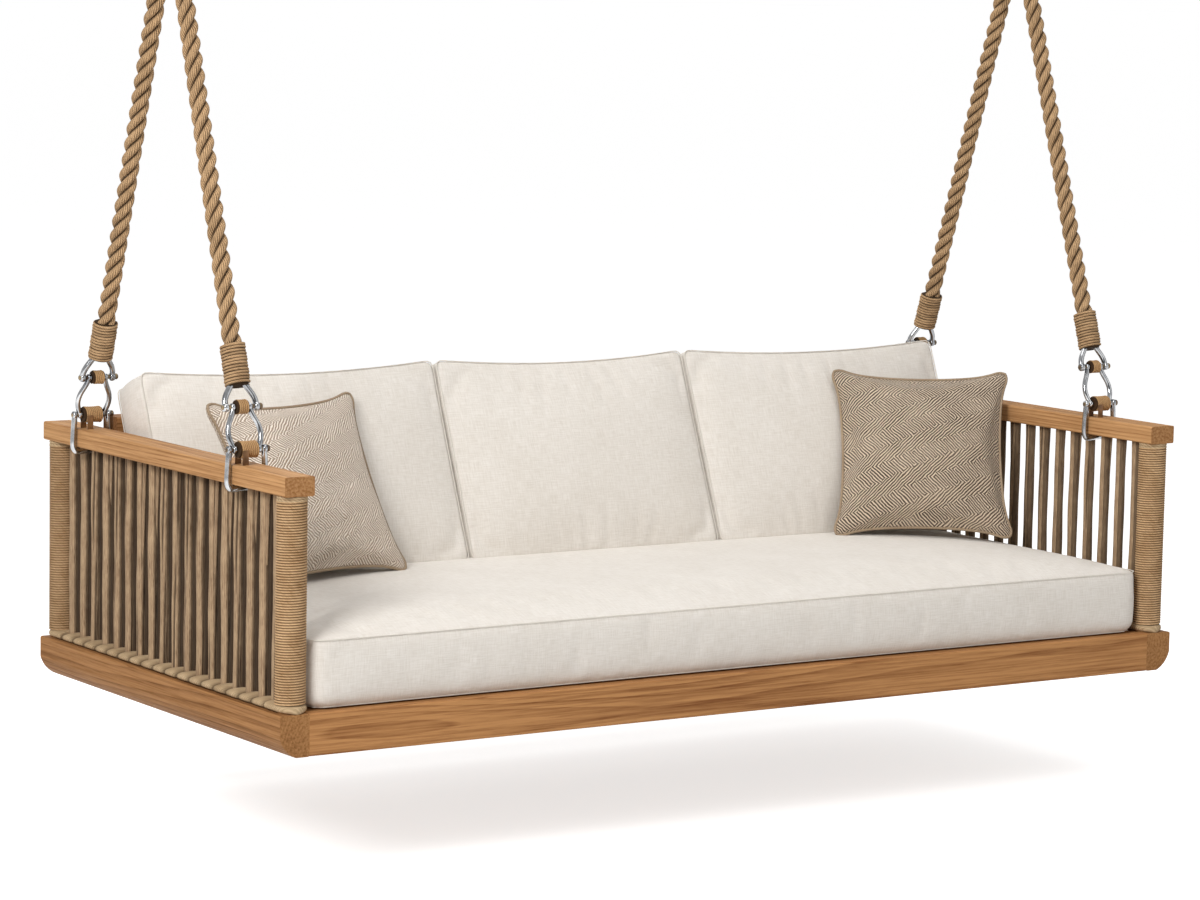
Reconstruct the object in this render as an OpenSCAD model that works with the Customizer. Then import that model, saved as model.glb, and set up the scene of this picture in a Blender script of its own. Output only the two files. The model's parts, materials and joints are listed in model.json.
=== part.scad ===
// Hanging swing bed: a teak frame with corded arms and back, boxed cushions and two
// throw pillows, hung at four corners from two doubled ropes.
// The shapes below are drawn with the underside of the base at z = 0, its front at y = 0
// and the middle of its width at x = 0. hung() then moves them so that the origin lies on
// the ceiling, midway between the two ceiling brackets, with +Z up.

/* [Base frame] */
// Overall width of the base
base_w = 2200; // [1900:10:2400]
// Overall depth of the base
base_d = 1042; // [1020:2:1120]
// Height of the base members
base_h = 82; // [78:1:110]
// Width of a side beam
side_beam_w = 64; // [64:1:80]
// Thickness of the front and rear aprons
apron_t = 45; // [36:1:55]
// Width of the rounded chamfer under a side beam's outer edge
chamfer_w = 35; // [20:1:40]
// Height of that chamfer
chamfer_h = 39; // [25:1:45]
// Radius of the chamfer's convex curve
chamfer_r = 60; // [45:1:90]
// Rounding of the long visible edges
edge_r = 4; // [2:0.5:5]
// Length of a stub tenon
tenon_l = 22; // [15:1:26]
// Thickness of a stub tenon
tenon_t = 20; // [14:1:24]
// Wood left below a stub tenon, and at least as much above it
tenon_shoulder = 16; // [12:1:20]

/* [Slats and bearers] */
// Number of seat slats
slat_count = 20; // [14:1:24]
// Width of a slat
slat_w = 70; // [50:1:75]
// Thickness of a slat
slat_t = 20; // [16:1:24]
// Side of the square ledgers under the slat ends
ledger = 28; // [22:1:32]
// Width of the lengthwise bearer under the middle of the slats
mid_bearer_w = 45; // [36:1:60]
// Height of the bearers that cross the frame
mid_bearer_h = 48; // [44:1:54]

/* [Arms] */
// Width of an arm rail, and of the back rail
rail_w = 64; // [60:1:72]
// Height of an arm rail, and of the back rail
rail_h = 38; // [34:1:48]
// Height of the arm rail's top above the underside of the base
arm_top = 533; // [480:1:600]
// How far the arm rail's outer face is set in from the side beam's
rail_inset = 7; // [2:1:12]
// How far the arm rail starts behind the front of the base
rail_front = 2; // [0:1:10]
// How far the arm rail runs past the rear of the base
rail_rear = 2; // [0:1:10]
// Diameter of the turned posts, without their winding
post_d = 48; // [40:1:50]
// Diameter of the round tenons on the post ends
post_tenon_d = 28; // [20:1:32]
// Length of those tenons
post_tenon_l = 20; // [14:1:24]
// Thickness of the twine winding on a post
wrap_t = 6; // [4:0.5:7]
// Diameter of the white cord ring that ends a winding
ring_d = 6; // [4:0.5:7]
// Diameter of the strung cords
cord_d = 18; // [12:1:20]
// Number of cords in an arm
cord_count = 18; // [14:1:20]
// How deep a cord is let into the wood at each end
cord_seat = 12; // [8:1:16]
// Height of the braided binding on a side beam
binding_h = 18; // [12:1:22]
// Width of that binding
binding_w = 62; // [56:1:63]

/* [Back] */
// Gap between an end of the back rail and the arm rail beside it
back_rail_gap = 17; // [10:1:120]
// Height of the back rail's top above the underside of the base
back_top = 555; // [535:1:600]
// How far the back rail's front face is ahead of the rear of the base
back_setback = 177; // [162:1:192]
// Diameter of the back posts
back_post_d = 44; // [36:1:48]
// Number of cords between two back posts
back_cord_count = 19; // [12:1:22]
// Height of the bearer under the back
back_bearer_h = 66; // [60:1:76]

/* [Seat cushion] */
// Height of the seat cushion's border between its two seams
seat_border = 134; // [100:1:160]
// How far the seat cushion's top swells above its seam
seat_crown = 32; // [15:1:40]
// How far the cushion is set back from the front of the base
seat_front = 15; // [8:1:40]
// Gap between the cushion's ends and the wound posts
seat_side_gap = 9; // [4:1:20]
// Gap between the cushion's rear and the back rail
seat_rear_gap = 10; // [5:1:40]
// Corner radius of the cushion seen from above
seat_corner_r = 34; // [20:1:50]

/* [Back cushions] */
// Height of a back cushion along its lean
back_cushion_h = 443; // [380:1:480]
// Width of the middle back cushion
back_cushion_mid_w = 636; // [560:2:700]
// Gap between neighbouring back cushions at their seams
back_cushion_gap = 5; // [3:1:12]
// Thickness of a back cushion between its seams
back_border = 112; // [90:1:120]
// Swell of each face of a back cushion
back_crown = 22; // [12:1:30]
// Lean of the back cushions from upright
back_lean = 22.3; // [16:0.1:26]
// Corner radius of a back cushion
back_corner_r = 30; // [20:1:45]

/* [Throw pillows] */
// Side of a throw pillow
pillow_side = 402; // [340:2:440]
// Thickness of a throw pillow at its middle
pillow_t = 118; // [90:1:130]
// Thickness of its edge seam
pillow_edge = 9; // [6:1:14]
// How far the sides pull in between the corners
pillow_draw = 15; // [6:1:24]
// Corner radius of a throw pillow
pillow_corner_r = 26; // [15:1:40]
// Left pillow's foot: its distance from the seat cushion's end, and from the back cushions
left_pillow_in = 310; // [280:1:400]
left_pillow_ahead = 117; // [110:1:160]
// Right pillow's foot: its distance from the seat cushion's end, and from the back cushions
right_pillow_in = 254; // [250:1:400]
right_pillow_ahead = 143; // [140:1:180]

/* [Hardware] */
// Diameter of the rail straps' and shackles' round bar
rod_d = 10; // [8:0.5:11]
// Diameter of the link bars
link_rod_d = 8.5; // [7:0.5:9]
// Diameter of the pins
pin_d = 9; // [7:0.5:10]
// Outer diameter of the eyes
eye_d = 19; // [17:0.5:20]
// Gap between a rail strap and the faces of the rail
strap_gap = 1.2; // [1:0.1:3]
// Height of a lower pin above the arm rail's top
lower_pin_up = 29; // [26:1:40]
// Distance between the lower and the upper pin
link_l = 83; // [74:1:95]
// How far a link bar bows out
link_bow = 12; // [6:1:12]
// Width of a lower leather spool
lower_spool_w = 42; // [38:1:43]
// Diameter of a lower leather spool
lower_spool_d = 34; // [30:1:38]
// Width of the leather keeper strap over a lower spool
keeper_w = 30; // [20:1:32]
// Thickness of the keeper strap
keeper_t = 2.5; // [2:0.5:4]
// Width of an upper leather spool
upper_spool_w = 26; // [22:1:28]
// Diameter of an upper leather spool
upper_spool_d = 30; // [26:1:34]
// Height of the shackle's crown centre above the upper pin
shackle_h = 46; // [42:1:54]
// Bend radius of the shackle's crown
shackle_r = 14; // [12:0.5:16]
// The front straps are midway between this cord and the next
front_strap_gap = 3; // [2:1:5]
// The rear straps are midway between this cord and the next
rear_strap_gap = 16; // [14:1:17]

/* [Ropes and ceiling] */
// Diameter of the ropes
rope_d = 36; // [30:1:40]
// Diameter of the twine serving on a rope's end
serving_d = 47; // [44:1:52]
// Length of that serving
serving_l = 76; // [66:1:90]
// Start of the serving above the upper pin
serving_up = 39; // [36:1:44]
// How far behind the middle of the base's depth the pivot bolts are
hang_shift = 20; // [-20:0.1:60]
// Height of the pivot bolts above the underside of the base
pivot_h = 1600; // [1500:5:2200]
// Wall of the forged socket round a rope's upper end
socket_wall = 6; // [5:0.5:8]
// Length of a socket's cup
socket_l = 66; // [60:1:80]
// Distance from a pivot bolt down to the cups of its two sockets
socket_neck = 84; // [84:1:110]
// Thickness of the tongue on a rear socket
tongue_t = 16; // [12:1:20]
// Thickness of each ear of the fork on a front socket
fork_t = 9; // [7:0.5:12]
// Diameter of the pivot bolts
bolt_d = 16; // [14:1:18]
// Distance from the pivot bolts up to the bracket plates
bolt_drop = 60; // [40:1:110]
// Thickness of the bracket's plates
plate_t = 8; // [6:1:12]
// Length of a bracket's ceiling plate, from front to back
plate_l = 180; // [170:2:240]
// Width of that plate
plate_w = 96; // [90:2:130]
// Distance between the two ceiling bolts of a bracket
bolt_spacing = 130; // [124:2:180]
// Diameter of the ceiling bolt holes
ceiling_hole_d = 13; // [9:0.5:14]

/* [Hidden] */
$fn = 64;
// Clearances: glued joints, cords in their holes, a turning bore, and pieces that only rest
glue_gap = 0.1;
cord_gap = 0.1;
bore_gap = 0.05;
rest_gap = 0.3;
tenon_clear = 3;
// Colours, as seen on the object
teak = "#b98352";
teak_dark = "#8f6238";
twine = "#c69a66";
arm_cord = "#9c8465";
cream_cord = "#d9cbb0";
linen = "#e4ddd0";
herringbone = "#a8927a";
steel = "#9a9a98";
leather = "#b98a58";
manila = "#c0945f";

// Places that follow from the sizes above
rail_z = arm_top - rail_h;
rail_x = base_w/2 - rail_inset - rail_w/2;
arm_rail_l = base_d + rail_rear - rail_front;
wrap_d = post_d + 2*wrap_t;
front_post_y = rail_front + wrap_d/2;
rear_post_y = rail_front + arm_rail_l - wrap_d/2;
cord_pitch = (rear_post_y - front_post_y)/(cord_count + 1);
function cord_y(i) = front_post_y + cord_pitch*i;
strap_ys = [cord_y(front_strap_gap + 0.5), cord_y(rear_strap_gap + 0.5)];
inner_w = base_w - 2*side_beam_w;
bearer_x = inner_w/2;
back_y = base_d - back_setback;
back_mid_y = back_y + rail_w/2;
back_rail_l = 2*(rail_x - rail_w/2 - back_rail_gap);
back_z = back_top - rail_h;
back_post_x = back_rail_l/2 - rail_w/2;
back_pitch = back_post_x/(back_cord_count + 1);
// An apron's tenons pass under the tenons of the posts
tenon_h = base_h - tenon_shoulder - max(tenon_shoulder, post_tenon_l + tenon_clear);

// Cushions
seat_bottom = base_h + rest_gap;
seat_seam = seat_bottom + seat_border;
seat_top = seat_seam + seat_crown;
seat_l = 2*(rail_x - wrap_d/2 - seat_side_gap);
seat_depth = back_y - seat_rear_gap - seat_front;
crown_power = 8;
pad_power = 4;
// How far up a back cushion the back rail's top edge meets it, from 0 to 1
lean_z = back_top - seat_top;
touch = lean_z/cos(back_lean)/back_cushion_h;
touch_t = back_border + back_crown*(1 - pow(abs(2*touch - 1), pad_power));
back_front_y = back_y - rest_gap - touch_t/cos(back_lean) - lean_z*tan(back_lean);
back_half_w = seat_l/2 - seat_side_gap;
back_side_w = back_half_w - back_cushion_mid_w/2 - back_cushion_gap;

// Ropes: a straight line runs from each lower pin to the pivot bolt above
hang_y = base_d/2 + hang_shift;
lower_pin_z = arm_top + lower_pin_up;
rope_rise = pivot_h - lower_pin_z;
function lean(i) = atan((hang_y - strap_ys[i])/rope_rise);
function run(i) = norm([hang_y - strap_ys[i], rope_rise]);
// Along a rope's line, counted up from its lower pin
serving_start = link_l + serving_up;
rope_start = link_l + shackle_h + shackle_r + rod_d/2 + 3;
// Counted down from the pivot bolt
socket_shoulder = 14;
socket_floor = socket_neck + socket_shoulder + 4;
ceiling_h = pivot_h + bolt_drop + plate_t;

// Across the hardware, counted from the middle of the rail
pin_hole_d = pin_d + 0.3;
lower_link_x = lower_spool_w/2 + rest_gap + link_rod_d/2;
upper_link_x = upper_spool_w/2 + rest_gap + link_rod_d/2;
// A link bar is an arc from the lower pin to the upper one; its chord, radius and centre
link_step = [upper_link_x - lower_link_x, link_l];
link_chord = norm(link_step);
link_r = (link_chord*link_chord/4 + link_bow*link_bow)/(2*link_bow);
link_middle = [lower_link_x, 0] + link_step/2
    + (link_bow - link_r)/link_chord*[link_step[1], -link_step[0]];
function link_out(z) = link_middle[0] + sqrt(link_r*link_r - pow(z - link_middle[1], 2)) + link_rod_d/2;
strap_leg_x = rail_w/2 + strap_gap + rod_d/2;
strap_eye_in = link_out(eye_d/2) + rest_gap;
strap_eye_out = strap_leg_x + rod_d/2;
shackle_eye_in = link_out(link_l - eye_d/2) + 2*rest_gap;
shackle_eye_t = rod_d - 1;
shackle_eye_x = shackle_eye_in + shackle_eye_t/2;
keeper_inner_d = lower_spool_d - 2*keeper_t;
pin_head_d = 15;
pin_head_t = 5;
// A bend is forged a little fatter than the bar, so that the bar ends inside it
bend_extra = 0.8;
joint_depth = 0.4;
fork_x = tongue_t/2 + rest_gap + fork_t/2;
ear_d = bolt_d + 22;
ear_w = 26;
cheek_x = fork_x + fork_t/2 + rest_gap;
cheek_w = 60;

// ---- Helpers ----

// Moves the bed so that the origin lies on the ceiling, over the pivots
module hung() translate([0, -hang_y, -ceiling_h]) children();
module left() mirror([1, 0, 0]) children();
// Extrude a profile along Y (profile x and y become X and Z) or along X (they become Y and Z)
module along_y(l) translate([0, l, 0]) rotate([90, 0, 0]) linear_extrude(l) children();
module along_x(l) rotate([90, 0, 90]) linear_extrude(l) children();
// A round bar along X, centred
module rod_x(d, l) rotate([0, 90, 0]) cylinder(d = d, h = l, center = true);

// Rectangle with round corners, its lower left corner at the origin
module soft_rect(w, h, r) {
    translate([r, 0]) square([w - 2*r, h]);
    translate([0, r]) square([w, h - 2*r]);
    for (x = [r, w - r], y = [r, h - r]) translate([x, y]) circle(r);
}

// ---- Base frame ----

// Section of the right side beam: its lower outer edge is a convex rounded chamfer
module beam_section() {
    chord = norm([chamfer_w, chamfer_h]);
    reach = sqrt(chamfer_r*chamfer_r - chord*chord/4);
    mid = [side_beam_w - chamfer_w/2, chamfer_h/2];
    middle = mid + reach/chord*[-chamfer_h, chamfer_w];
    difference() {
        soft_rect(side_beam_w, base_h, edge_r);
        difference() {
            translate([side_beam_w - chamfer_w, -1]) square([chamfer_w + 1, chamfer_h + 1]);
            translate(middle) circle(chamfer_r, $fn = 128);
        }
    }
}

// A stub tenon that points along +X from x = 0, or the mortise for it
module stub(t, h, gap = 0) translate([-1, -gap, -gap]) cube([tenon_l + 1 + gap, t + 2*gap, h + 2*gap]);

// Where the cross members enter a side beam: [y, z, thickness, height]
stubs = [[(apron_t - tenon_t)/2, tenon_shoulder, tenon_t, tenon_h],
    [base_d - (apron_t + tenon_t)/2, tenon_shoulder, tenon_t, tenon_h],
    [back_mid_y - tenon_t/2, base_h - back_bearer_h + tenon_shoulder, tenon_t,
        back_bearer_h - 2*tenon_shoulder],
    [mid_bearer_y() - tenon_t/2, mid_bearer_z() + tenon_shoulder/2, tenon_t, mid_bearer_h - tenon_shoulder]];
function mid_bearer_y() = (apron_t + back_y)/2;
function mid_bearer_z() = base_h - slat_t - mid_bearer_h;

module side_beam() color(teak) difference() {
    translate([bearer_x, 0, 0]) along_y(base_d) beam_section();
    for (s = stubs) translate([bearer_x, s[0], s[1]]) stub(s[2], s[3], glue_gap);
    for (y = [front_post_y, rear_post_y]) translate([rail_x, y, base_h - post_tenon_l - glue_gap])
        cylinder(d = post_tenon_d + 2*glue_gap, h = post_tenon_l + 1);
    for (i = [1:cord_count]) translate([rail_x, cord_y(i), base_h - cord_seat - glue_gap])
        cylinder(d = cord_d + 2*cord_gap, h = cord_seat + 1);
}

// A cross member between the side beams, with its stub tenons
module cross_member(y, z, t, h, s) {
    translate([-bearer_x + glue_gap, y, z]) along_x(inner_w - 2*glue_gap) soft_rect(t, h, edge_r);
    for (m = [0, 1]) mirror([m, 0, 0]) translate([bearer_x, s[0], s[1]]) stub(s[2], s[3]);
}

module front_apron() color(teak) cross_member(0, 0, apron_t, base_h, stubs[0]);
module rear_apron() color(teak) cross_member(base_d - apron_t, 0, apron_t, base_h, stubs[1]);

module back_bearer() color(teak) difference() {
    cross_member(back_y, base_h - back_bearer_h, rail_w, back_bearer_h, stubs[2]);
    back_post_holes(base_h - post_tenon_l - glue_gap);
    back_cord_holes(base_h - cord_seat - glue_gap);
}

module middle_bearer() color(teak_dark)
    cross_member(mid_bearer_y() - mid_bearer_w/2, mid_bearer_z(), mid_bearer_w, mid_bearer_h, stubs[3]);

// Square ledgers on the front apron and on the back bearer, under the slat ends
module slat_ledgers() color(teak_dark) for (y = [apron_t, back_y - ledger])
    translate([-bearer_x + glue_gap, y, base_h - slat_t - ledger])
        cube([inner_w - 2*glue_gap, ledger, ledger]);

module seat_slats() color(teak) {
    pitch = inner_w/slat_count;
    for (i = [0:slat_count - 1])
        translate([-bearer_x + pitch*(i + 0.5) - slat_w/2, apron_t + 1, base_h - slat_t])
            along_y(back_y - apron_t - 2) soft_rect(slat_w, slat_t, edge_r/2);
}

// ---- Arms ----

module arm_rail() color(teak) difference() {
    translate([rail_x - rail_w/2, rail_front, rail_z]) along_y(arm_rail_l) soft_rect(rail_w, rail_h, edge_r);
    for (y = [front_post_y, rear_post_y]) translate([rail_x, y, rail_z - 1])
        cylinder(d = post_tenon_d + 2*glue_gap, h = post_tenon_l + 1 + glue_gap);
    for (i = [1:cord_count]) translate([rail_x, cord_y(i), rail_z - 1])
        cylinder(d = cord_d + 2*cord_gap, h = cord_seat + 1 + glue_gap);
}

// A turned post from z = low to z = high, with a round tenon on each end
module turned_post(d, low, high) {
    translate([0, 0, low]) cylinder(d = d, h = high - low);
    translate([0, 0, low - post_tenon_l]) cylinder(d = post_tenon_d, h = high - low + 2*post_tenon_l);
}

module arm_posts() color(teak) for (y = [front_post_y, rear_post_y])
    translate([rail_x, y, 0]) turned_post(post_d, base_h, rail_z);

// The twine sleeve round each post and the white cord ring above it
module post_windings() {
    sleeve_z = base_h + binding_h + rest_gap;
    sleeve_top = rail_z - ring_d - 2*rest_gap;
    for (y = [front_post_y, rear_post_y]) translate([rail_x, y, 0]) {
        color(twine) difference() {
            translate([0, 0, sleeve_z]) cylinder(d = wrap_d, h = sleeve_top - sleeve_z);
            cylinder(d = post_d + 2*cord_gap, h = rail_z);
        }
        color(cream_cord) translate([0, 0, rail_z - rest_gap - ring_d/2])
            rotate_extrude() translate([post_d/2 + cord_gap + ring_d/2, 0]) circle(d = ring_d, $fn = 32);
    }
}

// The braided cord binding that lies on the side beam, round the posts and cords
module binding() color(cream_cord) difference() {
    translate([rail_x - binding_w/2, 1, base_h]) along_y(base_d - 2)
        soft_rect(binding_w, binding_h, binding_h/3);
    for (y = [front_post_y, rear_post_y]) translate([rail_x, y, base_h - 1])
        cylinder(d = post_d + 2*cord_gap, h = binding_h + 2);
    for (i = [1:cord_count]) translate([rail_x, cord_y(i), base_h - 1])
        cylinder(d = cord_d + 2*cord_gap, h = binding_h + 2);
}

module arm_cords() color(arm_cord) for (i = [1:cord_count])
    translate([rail_x, cord_y(i), base_h - cord_seat])
        cylinder(d = cord_d, h = rail_z - base_h + 2*cord_seat);

// ---- Back ----

module back_post_holes(z) for (x = [-back_post_x, 0, back_post_x])
    translate([x, back_mid_y, z]) cylinder(d = post_tenon_d + 2*glue_gap, h = post_tenon_l + 1 + glue_gap);

module back_cord_holes(z) for (i = [1:back_cord_count], side = [-1, 1])
    translate([side*back_pitch*i, back_mid_y, z])
        cylinder(d = cord_d + 2*cord_gap, h = cord_seat + 1 + glue_gap);

module back_rail() color(teak) difference() {
    translate([-back_rail_l/2, back_y, back_z]) along_x(back_rail_l) soft_rect(rail_w, rail_h, edge_r);
    back_post_holes(back_z - 1);
    back_cord_holes(back_z - 1);
}

module back_posts() color(teak) for (x = [-back_post_x, 0, back_post_x])
    translate([x, back_mid_y, 0]) turned_post(back_post_d, base_h, back_z);

module back_cords() color(arm_cord) for (i = [1:back_cord_count], side = [-1, 1])
    translate([side*back_pitch*i, back_mid_y, base_h - cord_seat])
        cylinder(d = cord_d, h = back_z - base_h + 2*cord_seat);

// ---- Cushions ----

// Points round a cushion: straight runs that draw in between round corners
run_steps = 8;
corner_steps = 3;
function side_points(a, b, r, draw) = concat(
    [for (k = [0:run_steps]) let (v = 2*k/run_steps - 1) [a/2 - draw*(1 - v*v), v*(b/2 - r)]],
    [for (k = [1:corner_steps]) let (t = 90*k/(corner_steps + 1)) [a/2 - r + r*cos(t), b/2 - r + r*sin(t)]]);
function turn(p, n) = n == 0 ? p : turn([-p[1], p[0]], n - 1);
function outline(w, d, r, draw) = [for (n = [0:3]) each
    [for (p = n % 2 == 0 ? side_points(w, d, r, draw) : side_points(d, w, r, draw)) turn(p, n)]];

// A cushion's points lie on rings, which shrink from each seam to the middle of its face.
// A face swells most in its middle, and evenly up to its seam when the power is high.
shrink = [0.3, 0.55, 0.75, 0.88, 0.96, 1];
rings = len(shrink);
square_outline = outline(2, 2, 0, 0);
function swell(p, s, power) = (1 - pow(abs(p[0])*s, power))*(1 - pow(abs(p[1])*s, power));

// A closed cushion. The place is [origin, across, along, through], the last three unit vectors,
// and no point lies below floor_z, so that a leaning cushion stands flat on what it rests on.
module cushion(size, border, crowns, power, corner_r, draw, place, floor_z) {
    base = outline(size[0], size[1], corner_r, draw);
    n = len(base);
    flat = concat([[0, 0, -crowns[0]]],
        [for (s = shrink, k = [0:n - 1]) let (high = swell(square_outline[k], s, power))
            [base[k][0]*s, base[k][1]*s, -crowns[0]*high]],
        [for (j = [rings - 1:-1:0], k = [0:n - 1])
            let (s = shrink[j], high = swell(square_outline[k], s, power))
            [base[k][0]*s, base[k][1]*s, border + crowns[1]*high]],
        [[0, 0, border + crowns[1]]]);
    placed = [for (p = flat) let (q = place[0] + p[0]*place[1] + p[1]*place[2] + p[2]*place[3])
        [q[0], q[1], max(q[2], floor_z)]];
    last = len(placed) - 1;
    faces = concat(
        [for (k = [0:n - 1]) [0, 1 + k, 1 + (k + 1) % n]],
        [for (j = [0:2*rings - 2], k = [0:n - 1])
            let (a = 1 + j*n + k, b = 1 + j*n + (k + 1) % n) each [[a, a + n, b], [b, a + n, b + n]]],
        [for (k = [0:n - 1]) [last, last - n + (k + 1) % n, last - n + k]]);
    polyhedron(placed, faces, convexity = 4);
}

module seat_cushion() color(linen)
    cushion([seat_l, seat_depth], seat_border, [0, seat_crown], crown_power, seat_corner_r, 5,
        [[0, seat_front + seat_depth/2, seat_bottom], [1, 0, 0], [0, 1, 0], [0, 0, 1]], seat_bottom);

// A back cushion, leaning on the back rail's front edge and flat where it stands on the seat
module back_cushion(x, w) color(linen)
    cushion([w, back_cushion_h], back_border, [back_crown, back_crown], pad_power, back_corner_r, 4,
        [[x, back_front_y + back_cushion_h/2*sin(back_lean), seat_top + back_cushion_h/2*cos(back_lean)],
            [1, 0, 0], [0, sin(back_lean), cos(back_lean)], [0, cos(back_lean), -sin(back_lean)]],
        seat_top + rest_gap);

back_side_x = back_half_w - back_side_w/2;
module left_back_cushion() back_cushion(-back_side_x, back_side_w);
module middle_back_cushion() back_cushion(0, back_cushion_mid_w - back_cushion_gap);
module right_back_cushion() back_cushion(back_side_x, back_side_w);

// Height of the seat cushion's crown above its seam, at a place x along it
function crown_at(x) = lookup(abs(x),
    [for (s = concat([0], shrink)) [s*seat_l/2, seat_crown*(1 - pow(s, crown_power))]]);

// A square throw pillow: foot is the middle of its lower edge on the seat, yaw turns it
// about the vertical and lean tips its top backwards. It stands on the end of that edge
// nearest the middle of the seat, where the seat is highest.
module throw_pillow(foot, yaw, lean) {
    across = [cos(yaw), sin(yaw), 0];
    backward = [-sin(yaw), cos(yaw), 0];
    up = [0, 0, cos(lean)] + sin(lean)*backward;
    through = cos(lean)*backward - [0, 0, sin(lean)];
    swell = (pillow_t - pillow_edge)/2;
    near_x = abs(foot[0]) - (pillow_side/2 - pillow_corner_r)*cos(yaw);
    stand_z = seat_seam + crown_at(near_x) + rest_gap;
    color(herringbone) cushion([pillow_side, pillow_side], pillow_edge, [swell, swell], 2.2,
        pillow_corner_r, pillow_draw,
        [[foot[0], foot[1], stand_z] + pillow_side/2*up - pillow_edge/2*through, across, up, through],
        stand_z);
}

module left_throw_pillow()
    throw_pillow([left_pillow_in - seat_l/2, back_front_y - left_pillow_ahead], 13, 27);
module right_throw_pillow()
    throw_pillow([seat_l/2 - right_pillow_in, back_front_y - right_pillow_ahead], -32, 27);

// ---- Hardware at one corner, drawn about its lower pin with the rope's line along +Z ----

// Places the hardware of the right-hand corner i: 0 at the front, 1 at the rear
module at_corner(i) translate([rail_x, strap_ys[i], lower_pin_z]) rotate([-lean(i), 0, 0]) children();

// A U-shaped strap of round bar that passes under the arm rail, with an eye on each leg
module rail_strap(i) color(steel) {
    bend_r = strap_gap + rod_d/2 + edge_r;
    low = rail_z - rest_gap - rod_d/2;
    translate([rail_x, strap_ys[i], 0]) difference() {
        union() {
            translate([0, 0, low]) rod_x(rod_d, 2*(strap_leg_x - bend_r));
            for (m = [0, 1]) mirror([m, 0, 0]) {
                translate([strap_leg_x - bend_r, 0, low + bend_r]) rotate([90, 0, 0])
                    rotate_extrude(angle = -90) translate([bend_r, 0]) circle(d = rod_d, $fn = 32);
                translate([strap_leg_x, 0, low + bend_r]) cylinder(d = rod_d, h = lower_pin_z - low - bend_r);
                translate([(strap_eye_in + strap_eye_out)/2, 0, lower_pin_z])
                    rod_x(eye_d, strap_eye_out - strap_eye_in);
            }
        }
        translate([0, 0, lower_pin_z]) rod_x(pin_hole_d, 4*strap_leg_x);
    }
}

// Two bowed link bars with an eye at each end, between the lower and the upper pin
module link() color(steel) for (m = [0, 1]) mirror([m, 0, 0]) difference() {
    half = asin(link_chord/2/link_r);
    tip = atan(link_step[0]/link_step[1]);
    union() {
        translate([lower_link_x, 0, 0]) rod_x(eye_d - 1, link_rod_d);
        translate([upper_link_x, 0, link_l]) rod_x(eye_d - 1, link_rod_d);
        translate([link_middle[0], 0, link_middle[1]]) rotate([90, 0, 0]) rotate([0, 0, -half - tip])
            rotate_extrude(angle = 2*half) translate([link_r, 0]) circle(d = link_rod_d, $fn = 32);
    }
    for (z = [0, link_l]) translate([0, 0, z]) rod_x(pin_hole_d, 4*strap_leg_x);
}

// A pin along X between two outer faces, with a head at its +X end when head is 1, else at its -X end
module headed_pin(half, head) {
    rod_x(pin_d, 2*half);
    translate([(head == 1 ? 1 : -1)*(half + pin_head_t/2), 0, 0]) rod_x(pin_head_d, pin_head_t);
}

module pins() color(steel) for (i = [0, 1]) at_corner(i) {
    headed_pin(strap_eye_out + rest_gap, 1);
    translate([0, 0, link_l]) headed_pin(shackle_eye_x + shackle_eye_t/2 + rest_gap, 0);
}

// A leather-covered spool on a pin, with a hollow waist that a leather strap could fill
module spool(w, d) difference() {
    rod_x(d, w);
    rotate([0, 90, 0]) rotate_extrude() translate([d/2 + w*1.1, 0]) circle(w*1.1 + keeper_t, $fn = 96);
    rod_x(pin_hole_d, w + 2);
}

// The same with a straight waist for the keeper strap, between two rims
module rimmed_spool() difference() {
    rod_x(lower_spool_d, lower_spool_w);
    difference() {
        rod_x(lower_spool_d + 2, keeper_w + 2*rest_gap);
        rod_x(keeper_inner_d - 2*rest_gap, keeper_w + 2);
    }
    rod_x(pin_hole_d, lower_spool_w + 2);
}

module spools() color(leather) for (i = [0, 1]) at_corner(i) {
    rimmed_spool();
    translate([0, 0, link_l]) spool(upper_spool_w, upper_spool_d);
}

// The leather strap that lies over each lower spool and stands on the arm rail on both sides of it
module keeper_straps() color(leather) for (m = [0, 1], i = [0, 1]) mirror([m, 0, 0])
    translate([rail_x - keeper_w/2, strap_ys[i], lower_pin_z]) rotate([90, 0, 90]) linear_extrude(keeper_w)
        difference() {
            union() {
                circle(d = keeper_inner_d + 2*keeper_t);
                translate([-keeper_inner_d/2 - keeper_t, -lower_pin_up])
                    square([keeper_inner_d + 2*keeper_t, lower_pin_up]);
            }
            circle(d = keeper_inner_d);
            translate([-keeper_inner_d/2, -lower_pin_up - 1]) square([keeper_inner_d, lower_pin_up + 1]);
        }

// A straight line from a point beside the axis, tangent to a circle on it: its lean and its length
function tangent_lean(across, up, r) = atan(across/up) - asin(r/norm([across, up]));
function tangent_length(across, up, r) = sqrt(across*across + up*up - r*r);

// The bow of a shackle about the upper pin, from eye to eye over the crown
module bow(d) {
    a = tangent_lean(shackle_eye_x, shackle_h, shackle_r);
    translate([0, 0, shackle_h]) rotate([90, 0, 0]) rotate([0, 0, a])
        rotate_extrude(angle = 180 - 2*a) translate([shackle_r, 0]) circle(d = d + bend_extra, $fn = 32);
    for (m = [0, 1]) mirror([m, 0, 0]) translate([shackle_eye_x, 0, 0]) rotate([0, -a, 0])
        cylinder(d = d, h = tangent_length(shackle_eye_x, shackle_h, shackle_r) + joint_depth);
}

module shackle() color(steel) translate([0, 0, link_l]) difference() {
    union() {
        bow(rod_d);
        for (x = [-shackle_eye_x, shackle_eye_x]) translate([x, 0, 0]) rod_x(eye_d, shackle_eye_t);
    }
    rod_x(pin_hole_d, 4*strap_leg_x);
}

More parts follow.
